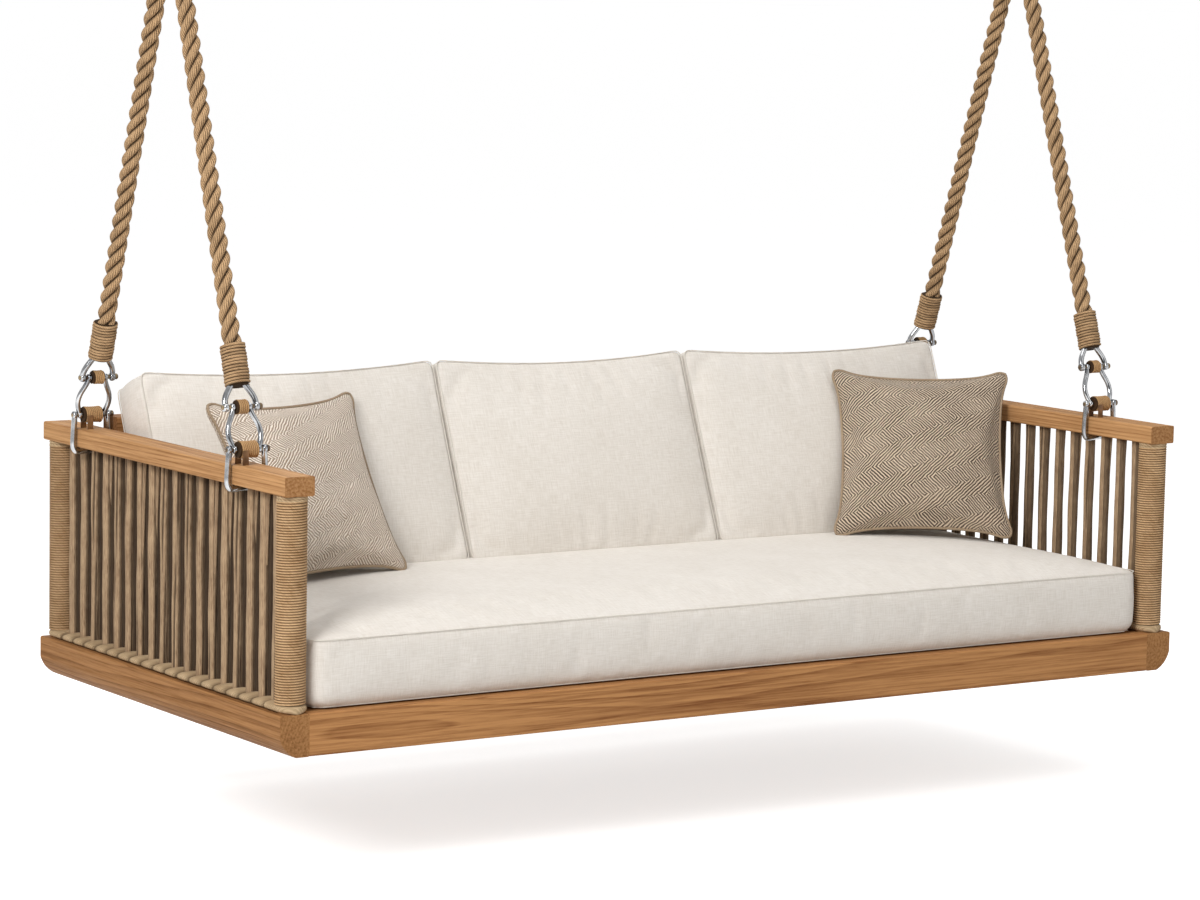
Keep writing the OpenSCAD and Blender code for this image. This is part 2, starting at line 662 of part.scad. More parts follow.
// The rope's end, worked round the shackle's crown and served over with twine
module serving() color(twine) difference() {
    translate([0, 0, serving_start]) cylinder(d = serving_d, h = serving_l);
    translate([0, 0, rope_start]) cylinder(d = rope_d + 2*cord_gap, h = serving_l);
    translate([0, 0, link_l]) bow(rod_d + 2*rest_gap);
}

// ---- Ropes, their upper sockets and the ceiling brackets ----

module rope(i) color(manila) translate([0, 0, rope_start])
    cylinder(d = rope_d, h = run(i) - socket_floor - glue_gap - rope_start);

// A flat forged eye about the bolt, whose shank runs down into the cup's shoulder
module ear(x, t) translate([x - t/2, 0, 0]) rotate([90, 0, 90]) linear_extrude(t) {
    circle(d = ear_d);
    translate([-ear_w/2, -socket_neck - socket_shoulder]) square([ear_w, socket_neck + socket_shoulder]);
}

// The forged socket on a rope's upper end. The front one is forked and takes the rear one's
// tongue between its ears, so that both turn on one bolt.
module socket(i) color(steel) translate([0, 0, run(i)]) {
    cup_r = rope_d/2 + socket_wall;
    cup_end = socket_neck + socket_l;
    difference() {
        union() {
            rotate_extrude() {
                polygon([[0, -socket_neck], [ear_w/2, -socket_neck], [cup_r, -socket_neck - socket_shoulder],
                    [cup_r, -cup_end], [0, -cup_end]]);
                translate([cup_r, -cup_end + 5]) circle(3);
            }
            if (i == 0) for (x = [-fork_x, fork_x]) ear(x, fork_t);
            else ear(0, tongue_t);
        }
        translate([0, 0, -cup_end - 1]) cylinder(d = rope_d + 2*cord_gap, h = cup_end + 1 - socket_floor);
        rod_x(bolt_d + 2*bore_gap, 4*cheek_x);
    }
}

bolt_head_t = 10;
bolt_hex = bolt_d*1.7;
washer_t = 3;
nut_t = 13;
cheek_out = cheek_x + plate_t;

// The pivot bolt with its head, and its nut with its washer as a second piece
module pivot_bolt() color(steel) translate([rail_x, hang_y, pivot_h]) rotate([0, -90, 0]) {
    translate([0, 0, -cheek_out]) cylinder(d = bolt_d, h = 2*cheek_out + washer_t + nut_t + 3);
    translate([0, 0, -cheek_out - bolt_head_t]) cylinder(d = bolt_hex, h = bolt_head_t, $fn = 6);
    translate([0, 0, cheek_out]) bored(washer_t) cylinder(d = bolt_hex + 4, h = washer_t);
    translate([0, 0, cheek_out + washer_t]) bored(nut_t) cylinder(d = bolt_hex, h = nut_t, $fn = 6);
}

// What is drawn from z = 0 to z = t, with a hole for the pivot bolt
module bored(t) difference() {
    children();
    translate([0, 0, -1]) cylinder(d = bolt_d + 2*bore_gap, h = t + 2);
}

// A ceiling plate with two bolt holes and the two cheeks that hold the pivot bolt
module ceiling_bracket() color(steel) translate([rail_x, hang_y, pivot_h]) difference() {
    union() {
        translate([-plate_w/2, -plate_l/2, bolt_drop])
            linear_extrude(plate_t) soft_rect(plate_w, plate_l, 12);
        for (x = [-cheek_out, cheek_x]) translate([x, 0, 0]) rotate([90, 0, 90]) linear_extrude(plate_t) {
            circle(d = cheek_w);
            translate([-cheek_w/2, 0]) square([cheek_w, bolt_drop + 1]);
        }
    }
    rod_x(bolt_d + 2*bore_gap, 4*cheek_out);
    for (side = [-1, 1]) translate([0, side*bolt_spacing/2, bolt_drop - 1])
        cylinder(d = ceiling_hole_d, h = plate_t + 2);
}

// ---- The nodes ----

hung() front_apron();
hung() rear_apron();
hung() left() side_beam();  // left_side_beam
hung() side_beam();  // right_side_beam
hung() back_bearer();
hung() middle_bearer();
hung() slat_ledgers();
hung() seat_slats();
hung() left() arm_rail();  // left_arm_rail
hung() arm_rail();  // right_arm_rail
hung() back_rail();
hung() left() arm_posts();  // left_posts
hung() arm_posts();  // right_posts
hung() left() post_windings();  // left_post_windings
hung() post_windings();  // right_post_windings
hung() left() binding();  // left_binding
hung() binding();  // right_binding
hung() left() arm_cords();  // left_arm_cords
hung() arm_cords();  // right_arm_cords
hung() back_posts();
hung() back_cords();
hung() seat_cushion();
hung() left_back_cushion();
hung() middle_back_cushion();
hung() right_back_cushion();
hung() left_throw_pillow();
hung() right_throw_pillow();
hung() left() rail_strap(0);  // left_front_rail_strap
hung() left() rail_strap(1);  // left_rear_rail_strap
hung() rail_strap(0);  // right_front_rail_strap
hung() rail_strap(1);  // right_rear_rail_strap
hung() left() at_corner(0) link();  // left_front_link
hung() left() at_corner(1) link();  // left_rear_link
hung() at_corner(0) link();  // right_front_link
hung() at_corner(1) link();  // right_rear_link
hung() left() at_corner(0) shackle();  // left_front_shackle
hung() left() at_corner(1) shackle();  // left_rear_shackle
hung() at_corner(0) shackle();  // right_front_shackle
hung() at_corner(1) shackle();  // right_rear_shackle
hung() left() at_corner(0) serving();  // left_front_serving
hung() left() at_corner(1) serving();  // left_rear_serving
hung() at_corner(0) serving();  // right_front_serving
hung() at_corner(1) serving();  // right_rear_serving
hung() left() pins();  // left_pins
hung() left() spools();  // left_spools
hung() pins();  // right_pins
hung() spools();  // right_spools
hung() keeper_straps();
hung() left() at_corner(0) rope(0);  // left_front_rope
hung() left() at_corner(1) rope(1);  // left_rear_rope
hung() at_corner(0) rope(0);  // right_front_rope
hung() at_corner(1) rope(1);  // right_rear_rope
hung() left() at_corner(0) socket(0);  // left_front_socket
hung() left() at_corner(1) socket(1);  // left_rear_socket
hung() at_corner(0) socket(0);  // right_front_socket
hung() at_corner(1) socket(1);  // right_rear_socket
hung() left() pivot_bolt();  // left_pivot_bolt
hung() pivot_bolt();  // right_pivot_bolt
hung() left() ceiling_bracket();  // left_ceiling_bracket
hung() ceiling_bracket();  // right_ceiling_bracket
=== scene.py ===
"""Looks of a hanging swing bed: rope-hung teak frame, strung cord arms, boxed cushions and pillows.

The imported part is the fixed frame. Rigid timber and steel keep their CAD shape and get a finish.
Ropes, cords, windings, bindings and every cushion are modelled here in the space of their solids.
"""
from __future__ import annotations

import json
import logging
import math
from collections.abc import Callable, Sequence
from dataclasses import dataclass, field
from enum import Enum

import bpy
import numpy as np
from mathutils import Euler, Matrix, Vector

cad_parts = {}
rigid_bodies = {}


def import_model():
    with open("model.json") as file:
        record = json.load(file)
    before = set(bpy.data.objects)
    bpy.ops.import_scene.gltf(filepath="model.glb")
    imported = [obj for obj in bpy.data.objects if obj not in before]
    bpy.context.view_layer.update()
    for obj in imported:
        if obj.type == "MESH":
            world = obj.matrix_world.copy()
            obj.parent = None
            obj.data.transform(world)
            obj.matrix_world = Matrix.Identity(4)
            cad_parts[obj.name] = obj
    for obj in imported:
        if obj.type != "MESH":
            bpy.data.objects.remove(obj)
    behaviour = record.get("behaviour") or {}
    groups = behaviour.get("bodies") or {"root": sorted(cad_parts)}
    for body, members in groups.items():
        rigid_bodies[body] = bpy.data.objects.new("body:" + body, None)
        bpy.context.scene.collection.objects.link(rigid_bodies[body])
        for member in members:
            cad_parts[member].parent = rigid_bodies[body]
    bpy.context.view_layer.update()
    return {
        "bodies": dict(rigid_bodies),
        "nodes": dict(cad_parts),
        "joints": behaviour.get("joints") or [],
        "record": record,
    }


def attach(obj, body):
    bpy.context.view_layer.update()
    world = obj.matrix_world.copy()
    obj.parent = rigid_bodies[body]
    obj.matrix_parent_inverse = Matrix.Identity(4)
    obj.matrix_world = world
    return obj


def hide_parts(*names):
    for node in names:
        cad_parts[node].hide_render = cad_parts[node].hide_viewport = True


LOG = logging.getLogger("swing_bed")
MM = 0.001
TURN = 2 * math.pi
HALF = (0.5, 0.5, 0.5)  # mean colour of a noise, which is taken off to shift a place both ways
WAYS = (1, -1)  # the two sides of a symmetrical piece, right or rear first
TWINE_SIDES = 8
TWINE_STEPS = 28  # steps in one turn of a wound twine
ROUND_SIDES = 32  # sides of cylinders, discs and pins
SIM_FRAMES = 20  # length of a cushion's cloth simulation
SHARP = 0.9  # angle in radians from which the edges of bars and pins stay sharp
MIDDLE = Vector((0, 0, -1.1))  # what the lamps aim at
Colour = tuple[float, float, float, float]
Piece = bpy.types.Object
Look = bpy.types.Material
Socket = bpy.types.NodeSocket
Sockets = dict[str, Socket]


class Named(Enum):
    """Options that nodes are named after."""

    @property
    def label(self) -> str:
        """The option's word in the names of nodes."""
        return self.name.lower()


class Side(Named):
    """The two ends of the bed, as the sign of X."""

    LEFT = -1
    RIGHT = 1


class End(Named):
    """The front and the rear hardware of one arm rail."""

    FRONT = 0
    REAR = 1


class Grain(Enum):
    """Direction of the wood fibres: the turn that brings them to the pattern's own Z."""

    X = (0.0, math.pi / 2, 0.0)
    Y = (math.pi / 2, 0.0, 0.0)
    Z = (0.0, 0.0, 0.0)


@dataclass(frozen=True)
class Plan:
    """Main places of the bed in its drawing: mm from the front of the base and its underside."""

    hang_y: float = 541.0
    ceiling_h: float = 1668.0
    base_h: float = 82.0
    base_d: float = 1042.0
    rail_x: float = 1061.0
    rail_z: float = 495.0
    front_post_y: float = 32.0
    rear_post_y: float = 1014.0
    cord_count: int = 18
    post_d: float = 48.0
    back_y: float = 865.0
    back_z: float = 517.0
    back_post_x: float = 980.0
    back_cord_count: int = 19
    pivot_h: float = 1600.0
    lower_pin_z: float = 562.0
    link_l: float = 83.0

    def at(self, x: float, y: float, z: float) -> Vector:
        """Place of a drawing point in the part's frame, in metres."""
        return Vector((x, y - self.hang_y, z - self.ceiling_h)) * MM

    def cord_y(self, number: float) -> float:
        """Distance of an arm cord, counted from the front post, behind the front of the base."""
        pitch = (self.rear_post_y - self.front_post_y) / (self.cord_count + 1)
        return self.front_post_y + pitch * number

    def strap_y(self, end: End) -> float:
        """Distance of a rail strap behind the front of the base."""
        return self.cord_y(3.5 if end is End.FRONT else 16.5)

    def lean(self, end: End) -> float:
        """Lean of a rope's line from upright, towards the rear, in radians."""
        return math.atan2(self.hang_y - self.strap_y(end), self.pivot_h - self.lower_pin_z)

    def run(self, end: End) -> float:
        """Distance from a lower pin to the pivot bolt."""
        return math.hypot(self.hang_y - self.strap_y(end), self.pivot_h - self.lower_pin_z)


PLAN = Plan()


@dataclass(frozen=True)
class Corner:
    """One of the four places where a rope leg meets an arm rail."""

    side: Side
    end: End

    def name(self, part: str) -> str:
        """Name of a node or piece at this corner."""
        return f"{self.side.label}_{self.end.label}_{part}"

    @property
    def upright(self) -> Matrix:
        """Matrix from the lower pin to the part's frame, with Z upright."""
        y = PLAN.strap_y(self.end)
        return Matrix.Translation(PLAN.at(self.side.value * PLAN.rail_x, y, PLAN.lower_pin_z))

    @property
    def place(self) -> Matrix:
        """Matrix from the lower pin to the part's frame, with Z along the rope's line."""
        return self.upright @ Matrix.Rotation(-PLAN.lean(self.end), 4, "X")


CORNERS = [Corner(side, end) for side in Side for end in End]


# ---- The workshop: Blender's own tools, used as by hand ----


class Shop:
    """Modelling steps that the sub-assemblies share."""

    @staticmethod
    def clear() -> None:
        """Leave edit mode and deselect everything."""
        if bpy.context.mode != "OBJECT":
            bpy.ops.object.mode_set(mode="OBJECT")
        bpy.ops.object.select_all(action="DESELECT")

    @classmethod
    def pick(cls, *pieces: Piece) -> None:
        """Select these pieces alone and make the first one active."""
        cls.clear()
        for piece in pieces:
            piece.select_set(True)
        bpy.context.view_layer.objects.active = pieces[0]

    @classmethod
    def fresh(cls, name: str) -> Piece:
        """Name the primitive that was just added and settle its place into its mesh."""
        piece = bpy.context.active_object
        piece.name = piece.data.name = name
        cls.pick(piece)
        bpy.ops.object.transform_apply(location=True, rotation=True, scale=True)
        return piece

    @classmethod
    def circle(
        cls,
        name: str,
        radius: float,
        sides: int,
        centre: Sequence[float] = (0, 0, 0),
        upright: bool = False,
    ) -> Piece:
        """Add a ring of edges.

        Args:
            name: Name of the new piece.
            radius: Radius in metres.
            sides: Number of its points.
            centre: Its middle.
            upright: Whether it stands in the XZ plane rather than lying in the XY plane.

        Returns:
            The new piece.
        """
        cls.clear()
        turn = (math.pi / 2 if upright else 0, 0, 0)
        bpy.ops.mesh.primitive_circle_add(
            vertices=sides, radius=radius, location=centre, rotation=turn
        )
        return cls.fresh(name)

    @classmethod
    def drum(cls, name: str, radius: float, height: float, low: float) -> Piece:
        """Add an upright cylinder that starts at a height, on the Z axis."""
        cls.clear()
        bpy.ops.mesh.primitive_cylinder_add(
            vertices=ROUND_SIDES, radius=radius, depth=height,
            location=(0, 0, low + height / 2),
        )
        return cls.fresh(name)

    @classmethod
    def apply(cls, piece: Piece) -> Piece:
        """Apply all modifiers of a piece in their order."""
        cls.pick(piece)
        for modifier in list(piece.modifiers):
            bpy.ops.object.modifier_apply(modifier=modifier.name)
        return piece

    @classmethod
    def screw(
        cls, piece: Piece, angle: float, rise: float, steps: int, turns: int = 1, axis: str = "Z"
    ) -> Piece:
        """Sweep a profile round and along an axis, and close both ends.

        Args:
            piece: The profile.
            angle: Angle of one turn, in radians.
            rise: Height of one turn.
            steps: Number of steps in one turn.
            turns: Number of turns.
            axis: Name of the axis.

        Returns:
            The same piece, now a closed solid with outward faces.
        """
        tool = piece.modifiers.new("Sweep", "SCREW")
        tool.axis, tool.angle, tool.screw_offset = axis, angle, rise
        tool.steps = tool.render_steps = steps
        tool.iterations = turns
        cls.apply(piece)
        bpy.ops.object.mode_set(mode="EDIT")
        bpy.ops.mesh.select_all(action="SELECT")
        bpy.ops.mesh.remove_doubles(threshold=1e-6)
        bpy.ops.mesh.fill_holes(sides=0)
        bpy.ops.mesh.select_all(action="SELECT")
        bpy.ops.mesh.normals_make_consistent(inside=False)
        cls.clear()
        return piece

    @classmethod
    def coil(
        cls, half: float, radius: float, low: float, pitch: float, turns: int, tall: float = 1.0
    ) -> Piece:
        """Wind a twine round the Z axis.

        Args:
            half: Half the twine's thickness, in metres.
            radius: Radius of its centre line.
            low: Height at which it starts.
            pitch: Height of one turn.
            turns: Number of turns.
            tall: Height of its section against its thickness, for a coil that starts at 0.

        Returns:
            The coil.
        """
        coil = cls.circle("coil", half, TWINE_SIDES, (radius, 0, low), True)
        cls.push(coil, lambda at: at * [1, 1, tall])
        return cls.screw(coil, TURN, pitch, TWINE_STEPS, turns)

    @classmethod
    def soften(cls, piece: Piece, bevel: float = 0.0, segments: int = 2, levels: int = 0) -> Piece:
        """Bevel and subdivide a piece with modifiers that are applied."""
        if bevel:
            tool = piece.modifiers.new("Bevel", "BEVEL")
            tool.width, tool.segments, tool.limit_method = bevel, segments, "ANGLE"
        if levels:
            tool = piece.modifiers.new("Smooth", "SUBSURF")
            tool.levels = tool.render_levels = levels
        return cls.apply(piece)

    @classmethod
    def tube(
        cls, name: str, line: Sequence[Sequence[float]], radius: float, closed: bool = False
    ) -> Piece:
        """Bend a round bar along a line of points.

        Args:
            name: Name of the new piece.
            line: Points of its centre line, in metres.
            radius: Its radius.
            closed: Whether the line is a ring; otherwise it is smoothed and its ends are closed.

        Returns:
            The new piece.
        """
        bent = bpy.data.curves.new(name, "CURVE")
        bent.dimensions, bent.bevel_depth = "3D", radius
        bent.bevel_resolution, bent.resolution_u = (2, 1) if closed else (5, 6)
        bent.use_fill_caps = not closed
        spline = bent.splines.new("POLY" if closed else "NURBS")
        spline.points.add(len(line) - 1)
        spline.points.foreach_set("co", np.column_stack([line, np.ones(len(line))]).ravel())
        spline.use_cyclic_u = closed
        if not closed:
            spline.order_u, spline.use_endpoint_u = 4, True
        piece = bpy.data.objects.new(name, bent)
        bpy.context.scene.collection.objects.link(piece)
        cls.pick(piece)
        bpy.ops.object.convert(target="MESH")
        return bpy.context.active_object

    @classmethod
    def disc(
        cls, name: str, diameter: float, low: float, high: float, z: float, bevel: float = 1.5
    ) -> Piece:
        """Add a round-edged disc or pin along X. All sizes are in mm."""
        cls.clear()
        bpy.ops.mesh.primitive_cylinder_add(
            vertices=ROUND_SIDES, radius=diameter / 2 * MM, depth=(high - low) * MM,
            location=((low + high) / 2 * MM, 0, z * MM), rotation=(0, math.pi / 2, 0),
        )
        return cls.soften(cls.fresh(name), bevel * MM, 3)

    @staticmethod
    def points(piece: Piece) -> np.ndarray:
        """Vertex places of a mesh as rows of x, y and z."""
        flat = np.zeros(len(piece.data.vertices) * 3)
        piece.data.vertices.foreach_get("co", flat)
        return flat.reshape(-1, 3)

    @classmethod
    def reach(cls, piece: Piece) -> np.ndarray:
        """Distance of each vertex from the Z axis."""
        return np.linalg.norm(cls.points(piece)[:, :2], axis=1)

    @classmethod
    def push(cls, piece: Piece, moves: Callable[[np.ndarray], np.ndarray]) -> Piece:
        """Move the vertices of a mesh by hand: moves turns their places into the new ones."""
        piece.data.vertices.foreach_set("co", moves(cls.points(piece)).ravel())
        piece.data.update()
        return piece

    @staticmethod
    def copy(piece: Piece, name: str, place: Matrix) -> Piece:
        """Copy a piece with its own mesh to another place."""
        twin = piece.copy()
        twin.data = piece.data.copy()
        twin.name = twin.data.name = name
        twin.data.transform(place)
        bpy.context.scene.collection.objects.link(twin)
        return twin

    @classmethod
    def join(cls, name: str, pieces: Sequence[Piece]) -> Piece:
        """Join pieces into one and name it."""
        cls.pick(*pieces)
        if len(pieces) > 1:
            bpy.ops.object.join()
        joined = bpy.context.active_object
        joined.name = joined.data.name = name
        return joined

    @classmethod
    def spread(cls, piece: Piece, name: str, places: Sequence[Matrix]) -> Piece:
        """Join copies of a piece at several places into one."""
        return cls.join(name, [cls.copy(piece, "copy", place) for place in places])

    @staticmethod
    def discard(*models: Piece) -> None:
        """Remove pieces that were only modelled to be copied."""
        for model in models:
            bpy.data.objects.remove(model)

    @classmethod
    def finish(
        cls,
        piece: Piece,
        finish: Look,
        slot: str,
        body: str,
        replaces: Sequence[str] = (),
        angle: float | None = None,
    ) -> Piece:
        """Shade a piece, give it its finish and fasten it to its body.

        Args:
            piece: The finished mesh, in place.
            finish: Its material.
            slot: The record's material slot; not used.
            body: CAD body that it moves with.
            replaces: CAD nodes that it stands for.
            angle: Angle from which edges stay sharp, or None for a smooth piece.

        Returns:
            The same piece.
        """
        cls.pick(piece)
        if angle is None:
            bpy.ops.object.shade_smooth()
        else:
            bpy.ops.object.shade_smooth_by_angle(angle=angle)
        piece.data.materials.clear()
        piece.data.materials.append(finish)
        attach(piece, body)
        if replaces:
            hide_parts(*replaces)
        LOG.info("%s: %d faces on %s", piece.name, len(piece.data.polygons), body)
        return piece

    @staticmethod
    def hollow(piece: Piece, depth: np.ndarray) -> None:
        """Store painted shade on each vertex, from 0 for none to 1 for the deepest, for the finish
        to darken.
        """
        layer = piece.data.attributes.new("hollow", "FLOAT", "POINT")
        layer.data.foreach_set("value", np.clip(depth, 0, 1).astype(np.float32))

    @classmethod
    def chart(cls, piece: Piece, flat: Callable[[np.ndarray], np.ndarray]) -> None:
        """Give a piece a UV map in metres: flat turns the places of its face corners into it."""
        mesh = piece.data
        layer = mesh.uv_layers.active or mesh.uv_layers.new(name="Lay")
        index = np.zeros(len(mesh.loops), int)
        mesh.loops.foreach_get("vertex_index", index)
        layer.data.foreach_set("uv", flat(cls.points(piece)[index]).ravel())

    @classmethod
    def wrap_uv(cls, piece: Piece, radius: float, wound: bool = False) -> None:
        """Give a piece round the Z axis a UV map in metres.

        Args:
            piece: The piece.
            radius: Radius at which the map has its true size.
            wound: Whether the fibres run round the axis rather than along it.
        """
        faces = piece.data.polygons

        def unroll(at: np.ndarray) -> np.ndarray:
            """Unroll the piece, with the corners of each face kept together."""
            around = np.arctan2(at[:, 1], at[:, 0]) / TURN
            first = around[[face.loop_start for face in faces]]
            first = np.repeat(first, [face.loop_total for face in faces])
            around += np.round(first - around)
            flat = np.stack([around * TURN * radius, at[:, 2]], axis=1)
            return flat[:, ::-1] if wound else flat

        cls.chart(piece, unroll)


# ---- Shader groups: effects that several finishes share ----


class Graph:
    """A node tree with short ways to add and link its nodes."""

    def __init__(self, tree: bpy.types.NodeTree) -> None:
        """Start on a node tree."""
        self.tree = tree

    def add(self, kind: str, feeds: dict | None = None, **settings: object) -> bpy.types.Node:
        """Add a shader node.

        Args:
            kind: Its type without the ShaderNode prefix.
            feeds: Values or sockets for its inputs, by name or number.
            settings: Its other properties.

        Returns:
            The node.
        """
        node = self.tree.nodes.new("ShaderNode" + kind)
        for name, value in settings.items():
            setattr(node, name, value)
        for name, value in (feeds or {}).items():
            self.feed(node.inputs[name], value)
        return node

    def feed(self, socket: Socket, value: object) -> None:
        """Link a socket to an input, or set the input's value."""
        if isinstance(value, Socket):
            self.tree.links.new(value, socket)
        else:
            socket.default_value = value

    def math(self, work: str, *terms: object) -> Socket:
        """Add a Math node and return its result."""
        return self.add("Math", dict(enumerate(terms)), operation=work).outputs[0]

    def times(self, value: object, factor: object) -> Socket:
        """Return the product of two numbers."""
        return self.math("MULTIPLY", value, factor)

    def fuse(self, value: object, factor: object, offset: object) -> Socket:
        """Return a number times a factor, plus an offset."""
        return self.math("MULTIPLY_ADD", value, factor, offset)

    def vector(self, work: str, *terms: object) -> Socket:
        """Add a Vector Math node and return its result: a number for a length or dot product."""
        node = self.add("VectorMath", dict(enumerate(terms)), operation=work)
        return node.outputs["Value" if work in ("LENGTH", "DOT_PRODUCT") else "Vector"]

    def noise(self, vector: Socket, scale: object, detail: float, output: str = "Fac") -> Socket:
        """Add a Noise Texture and return one of its outputs."""
        feeds = {"Vector": vector, "Scale": scale, "Detail": detail}
        return self.add("TexNoise", feeds).outputs[output]

    def streaks(
        self, vector: Socket, scale: Sequence[float], detail: float, output: str = "Fac"
    ) -> Socket:
        """Add noise with its own scale along each axis."""
        return self.noise(self.stretch(vector, scale), 1.0, detail, output)

    def stretch(
        self,
        vector: Socket,
        scale: Sequence[float],
        place: Sequence[float] = (0, 0, 0),
        turn: Sequence[float] = (0, 0, 0),
    ) -> Socket:
        """Add a Mapping node and return its vector."""
        feeds = {"Vector": vector, "Scale": scale, "Location": place, "Rotation": turn}
        return self.add("Mapping", feeds).outputs[0]

    def mix(self, factor: object, low: object, high: object) -> Socket:
        """Mix two colours and return the result."""
        node = self.add("Mix", data_type="RGBA")
        for number, value in ((0, factor), (6, low), (7, high)):
            self.feed(node.inputs[number], value)
        return node.outputs[2]

    def span(
        self, value: Socket, low: float, high: float, to_low: float = 0.0, to_high: float = 1.0
    ) -> Socket:
        """Map a range of values to another one, clamped."""
        feeds = {0: value, 1: low, 2: high, 3: to_low, 4: to_high}
        return self.add("MapRange", feeds).outputs[0]

    def bump(self, height: Socket, depth: float) -> Socket:
        """Turn a height map in units of depth metres into a normal."""
        feeds = {"Height": height, "Strength": 1.0, "Distance": depth}
        return self.add("Bump", feeds).outputs["Normal"]

    def rays(self, *kinds: str) -> Socket:
        """Return 1 for rays of these kinds and 0 for all others."""
        paths = self.add("LightPath").outputs
        found = paths[f"Is {kinds[0]} Ray"]
        for kind in kinds[1:]:
            found = self.math("MAXIMUM", found, paths[f"Is {kind} Ray"])
        return found


class Effect:
    """A shader node group that is built once and placed in several finishes."""

    title = ""
    inputs: dict[str, str] = {}
    outputs: dict[str, str] = {}

    @classmethod
    def group(cls) -> bpy.types.NodeTree:
        """Return the effect's node group, built on its first use."""
        found = bpy.data.node_groups.get(cls.title)
        if found:
            return found
        tree = bpy.data.node_groups.new(cls.title, "ShaderNodeTree")
        for way, sockets in (("INPUT", cls.inputs), ("OUTPUT", cls.outputs)):
            for name, kind in sockets.items():
                tree.interface.new_socket(name, in_out=way, socket_type="NodeSocket" + kind)
        start, end = tree.nodes.new("NodeGroupInput"), tree.nodes.new("NodeGroupOutput")
        graph = Graph(tree)
        results = cls.build(graph, {name: start.outputs[name] for name in cls.inputs})
        for name, value in results.items():
            graph.feed(end.inputs[name], value)
        return tree

    @classmethod
    def place(cls, graph: Graph, **feeds: object) -> Sockets:
        """Place the effect in a material with its own input values, and return its outputs."""
        node = graph.add("Group")
        node.node_tree = cls.group()
        for name, value in feeds.items():
            graph.feed(node.inputs[name.replace("_", " ").title()], value)
        return node.outputs

    @classmethod
    def build(cls, graph: Graph, given: Sockets) -> Sockets:
        """Make the group's nodes and return the sockets of its outputs."""
        raise NotImplementedError


class WoodGrain(Effect):
    """Growth rings round a pith along Z, with pores and broad changes of colour."""

    title = "wood_grain"
    inputs = {
        "Vector": "Vector", "Ring Width": "Float", "Early Wood": "Color", "Late Wood": "Color",
        "End Grain": "Float", "End Shade": "Float",
    }
    outputs = {"Color": "Color", "Roughness": "Float", "Height": "Float"}

    @classmethod
    def build(cls, graph: Graph, given: Sockets) -> Sockets:
        """Bend the rings with slow noise along the fibres, then lay streaks and pores over them."""
        vector, end = given["Vector"], given["End Grain"]
        slow = graph.streaks(vector, (7, 7, 0.9), 2.0, "Color")
        offset = graph.vector("SUBTRACT", slow, HALF)
        bent = graph.vector("MULTIPLY_ADD", offset, (0.05, 0.05, 0.0), vector)
        radius = graph.vector("LENGTH", graph.vector("MULTIPLY", bent, (1, 1, 0)))
        ring = graph.math("FRACT", graph.math("DIVIDE", radius, given["Ring Width"]))
        late = graph.times(graph.math("POWER", ring, 2.5), graph.span(ring, 0.93, 1.0, 1.0, 0.0))
        streak = graph.streaks(vector, (230, 230, 5), 5.0)
        pores = graph.span(graph.streaks(vector, (900, 900, 26), 2.0), 0.34, 0.46, 1.0, 0.0)
        cloud = graph.streaks(vector, (5, 5, 1.6), 3.0)
        shade = graph.span(streak, 0.36, 0.68, -0.1, 0.46)
        shade = graph.fuse(late, graph.fuse(end, -0.3, 0.6), shade)
        shade = graph.fuse(pores, 0.16, shade)
        shade = graph.math("ADD", shade, graph.span(cloud, 0.3, 0.72, -0.14, 0.2))
        shade = graph.fuse(end, given["End Shade"], shade)
        return {
            "Color": graph.mix(shade, given["Early Wood"], given["Late Wood"]),
            "Roughness": graph.fuse(pores, 0.18, graph.span(streak, 0.3, 0.7, 0.46, 0.58)),
            "Height": graph.fuse(pores, -0.6, graph.times(late, -0.25)),
        }


class Weave(Effect):
    """A plain weave with slubs, on a UV map in metres."""

    title = "weave"
    inputs = {"Vector": "Vector", "Thread": "Float"}
    outputs = {"Shade": "Float", "Height": "Float"}

    @classmethod
    def build(cls, graph: Graph, given: Sockets) -> Sockets:
        """Cross two waves and roughen them with slubs along both threads."""
        split = graph.add("SeparateXYZ", {0: given["Vector"]}).outputs
        waves, slubs = [], []
        for number, scale in enumerate(((35, 420, 1), (420, 35, 1))):
            turned = graph.math("DIVIDE", graph.times(split[number], TURN), given["Thread"])
            waves.append(graph.math("SINE", turned))
            slubs.append(graph.streaks(given["Vector"], scale, 2.0))
        slub = graph.math("ADD", *slubs)
        height = graph.fuse(graph.times(*waves), 0.25, graph.times(slub, 0.5))
        return {"Shade": graph.span(slub, 0.7, 1.3), "Height": height}


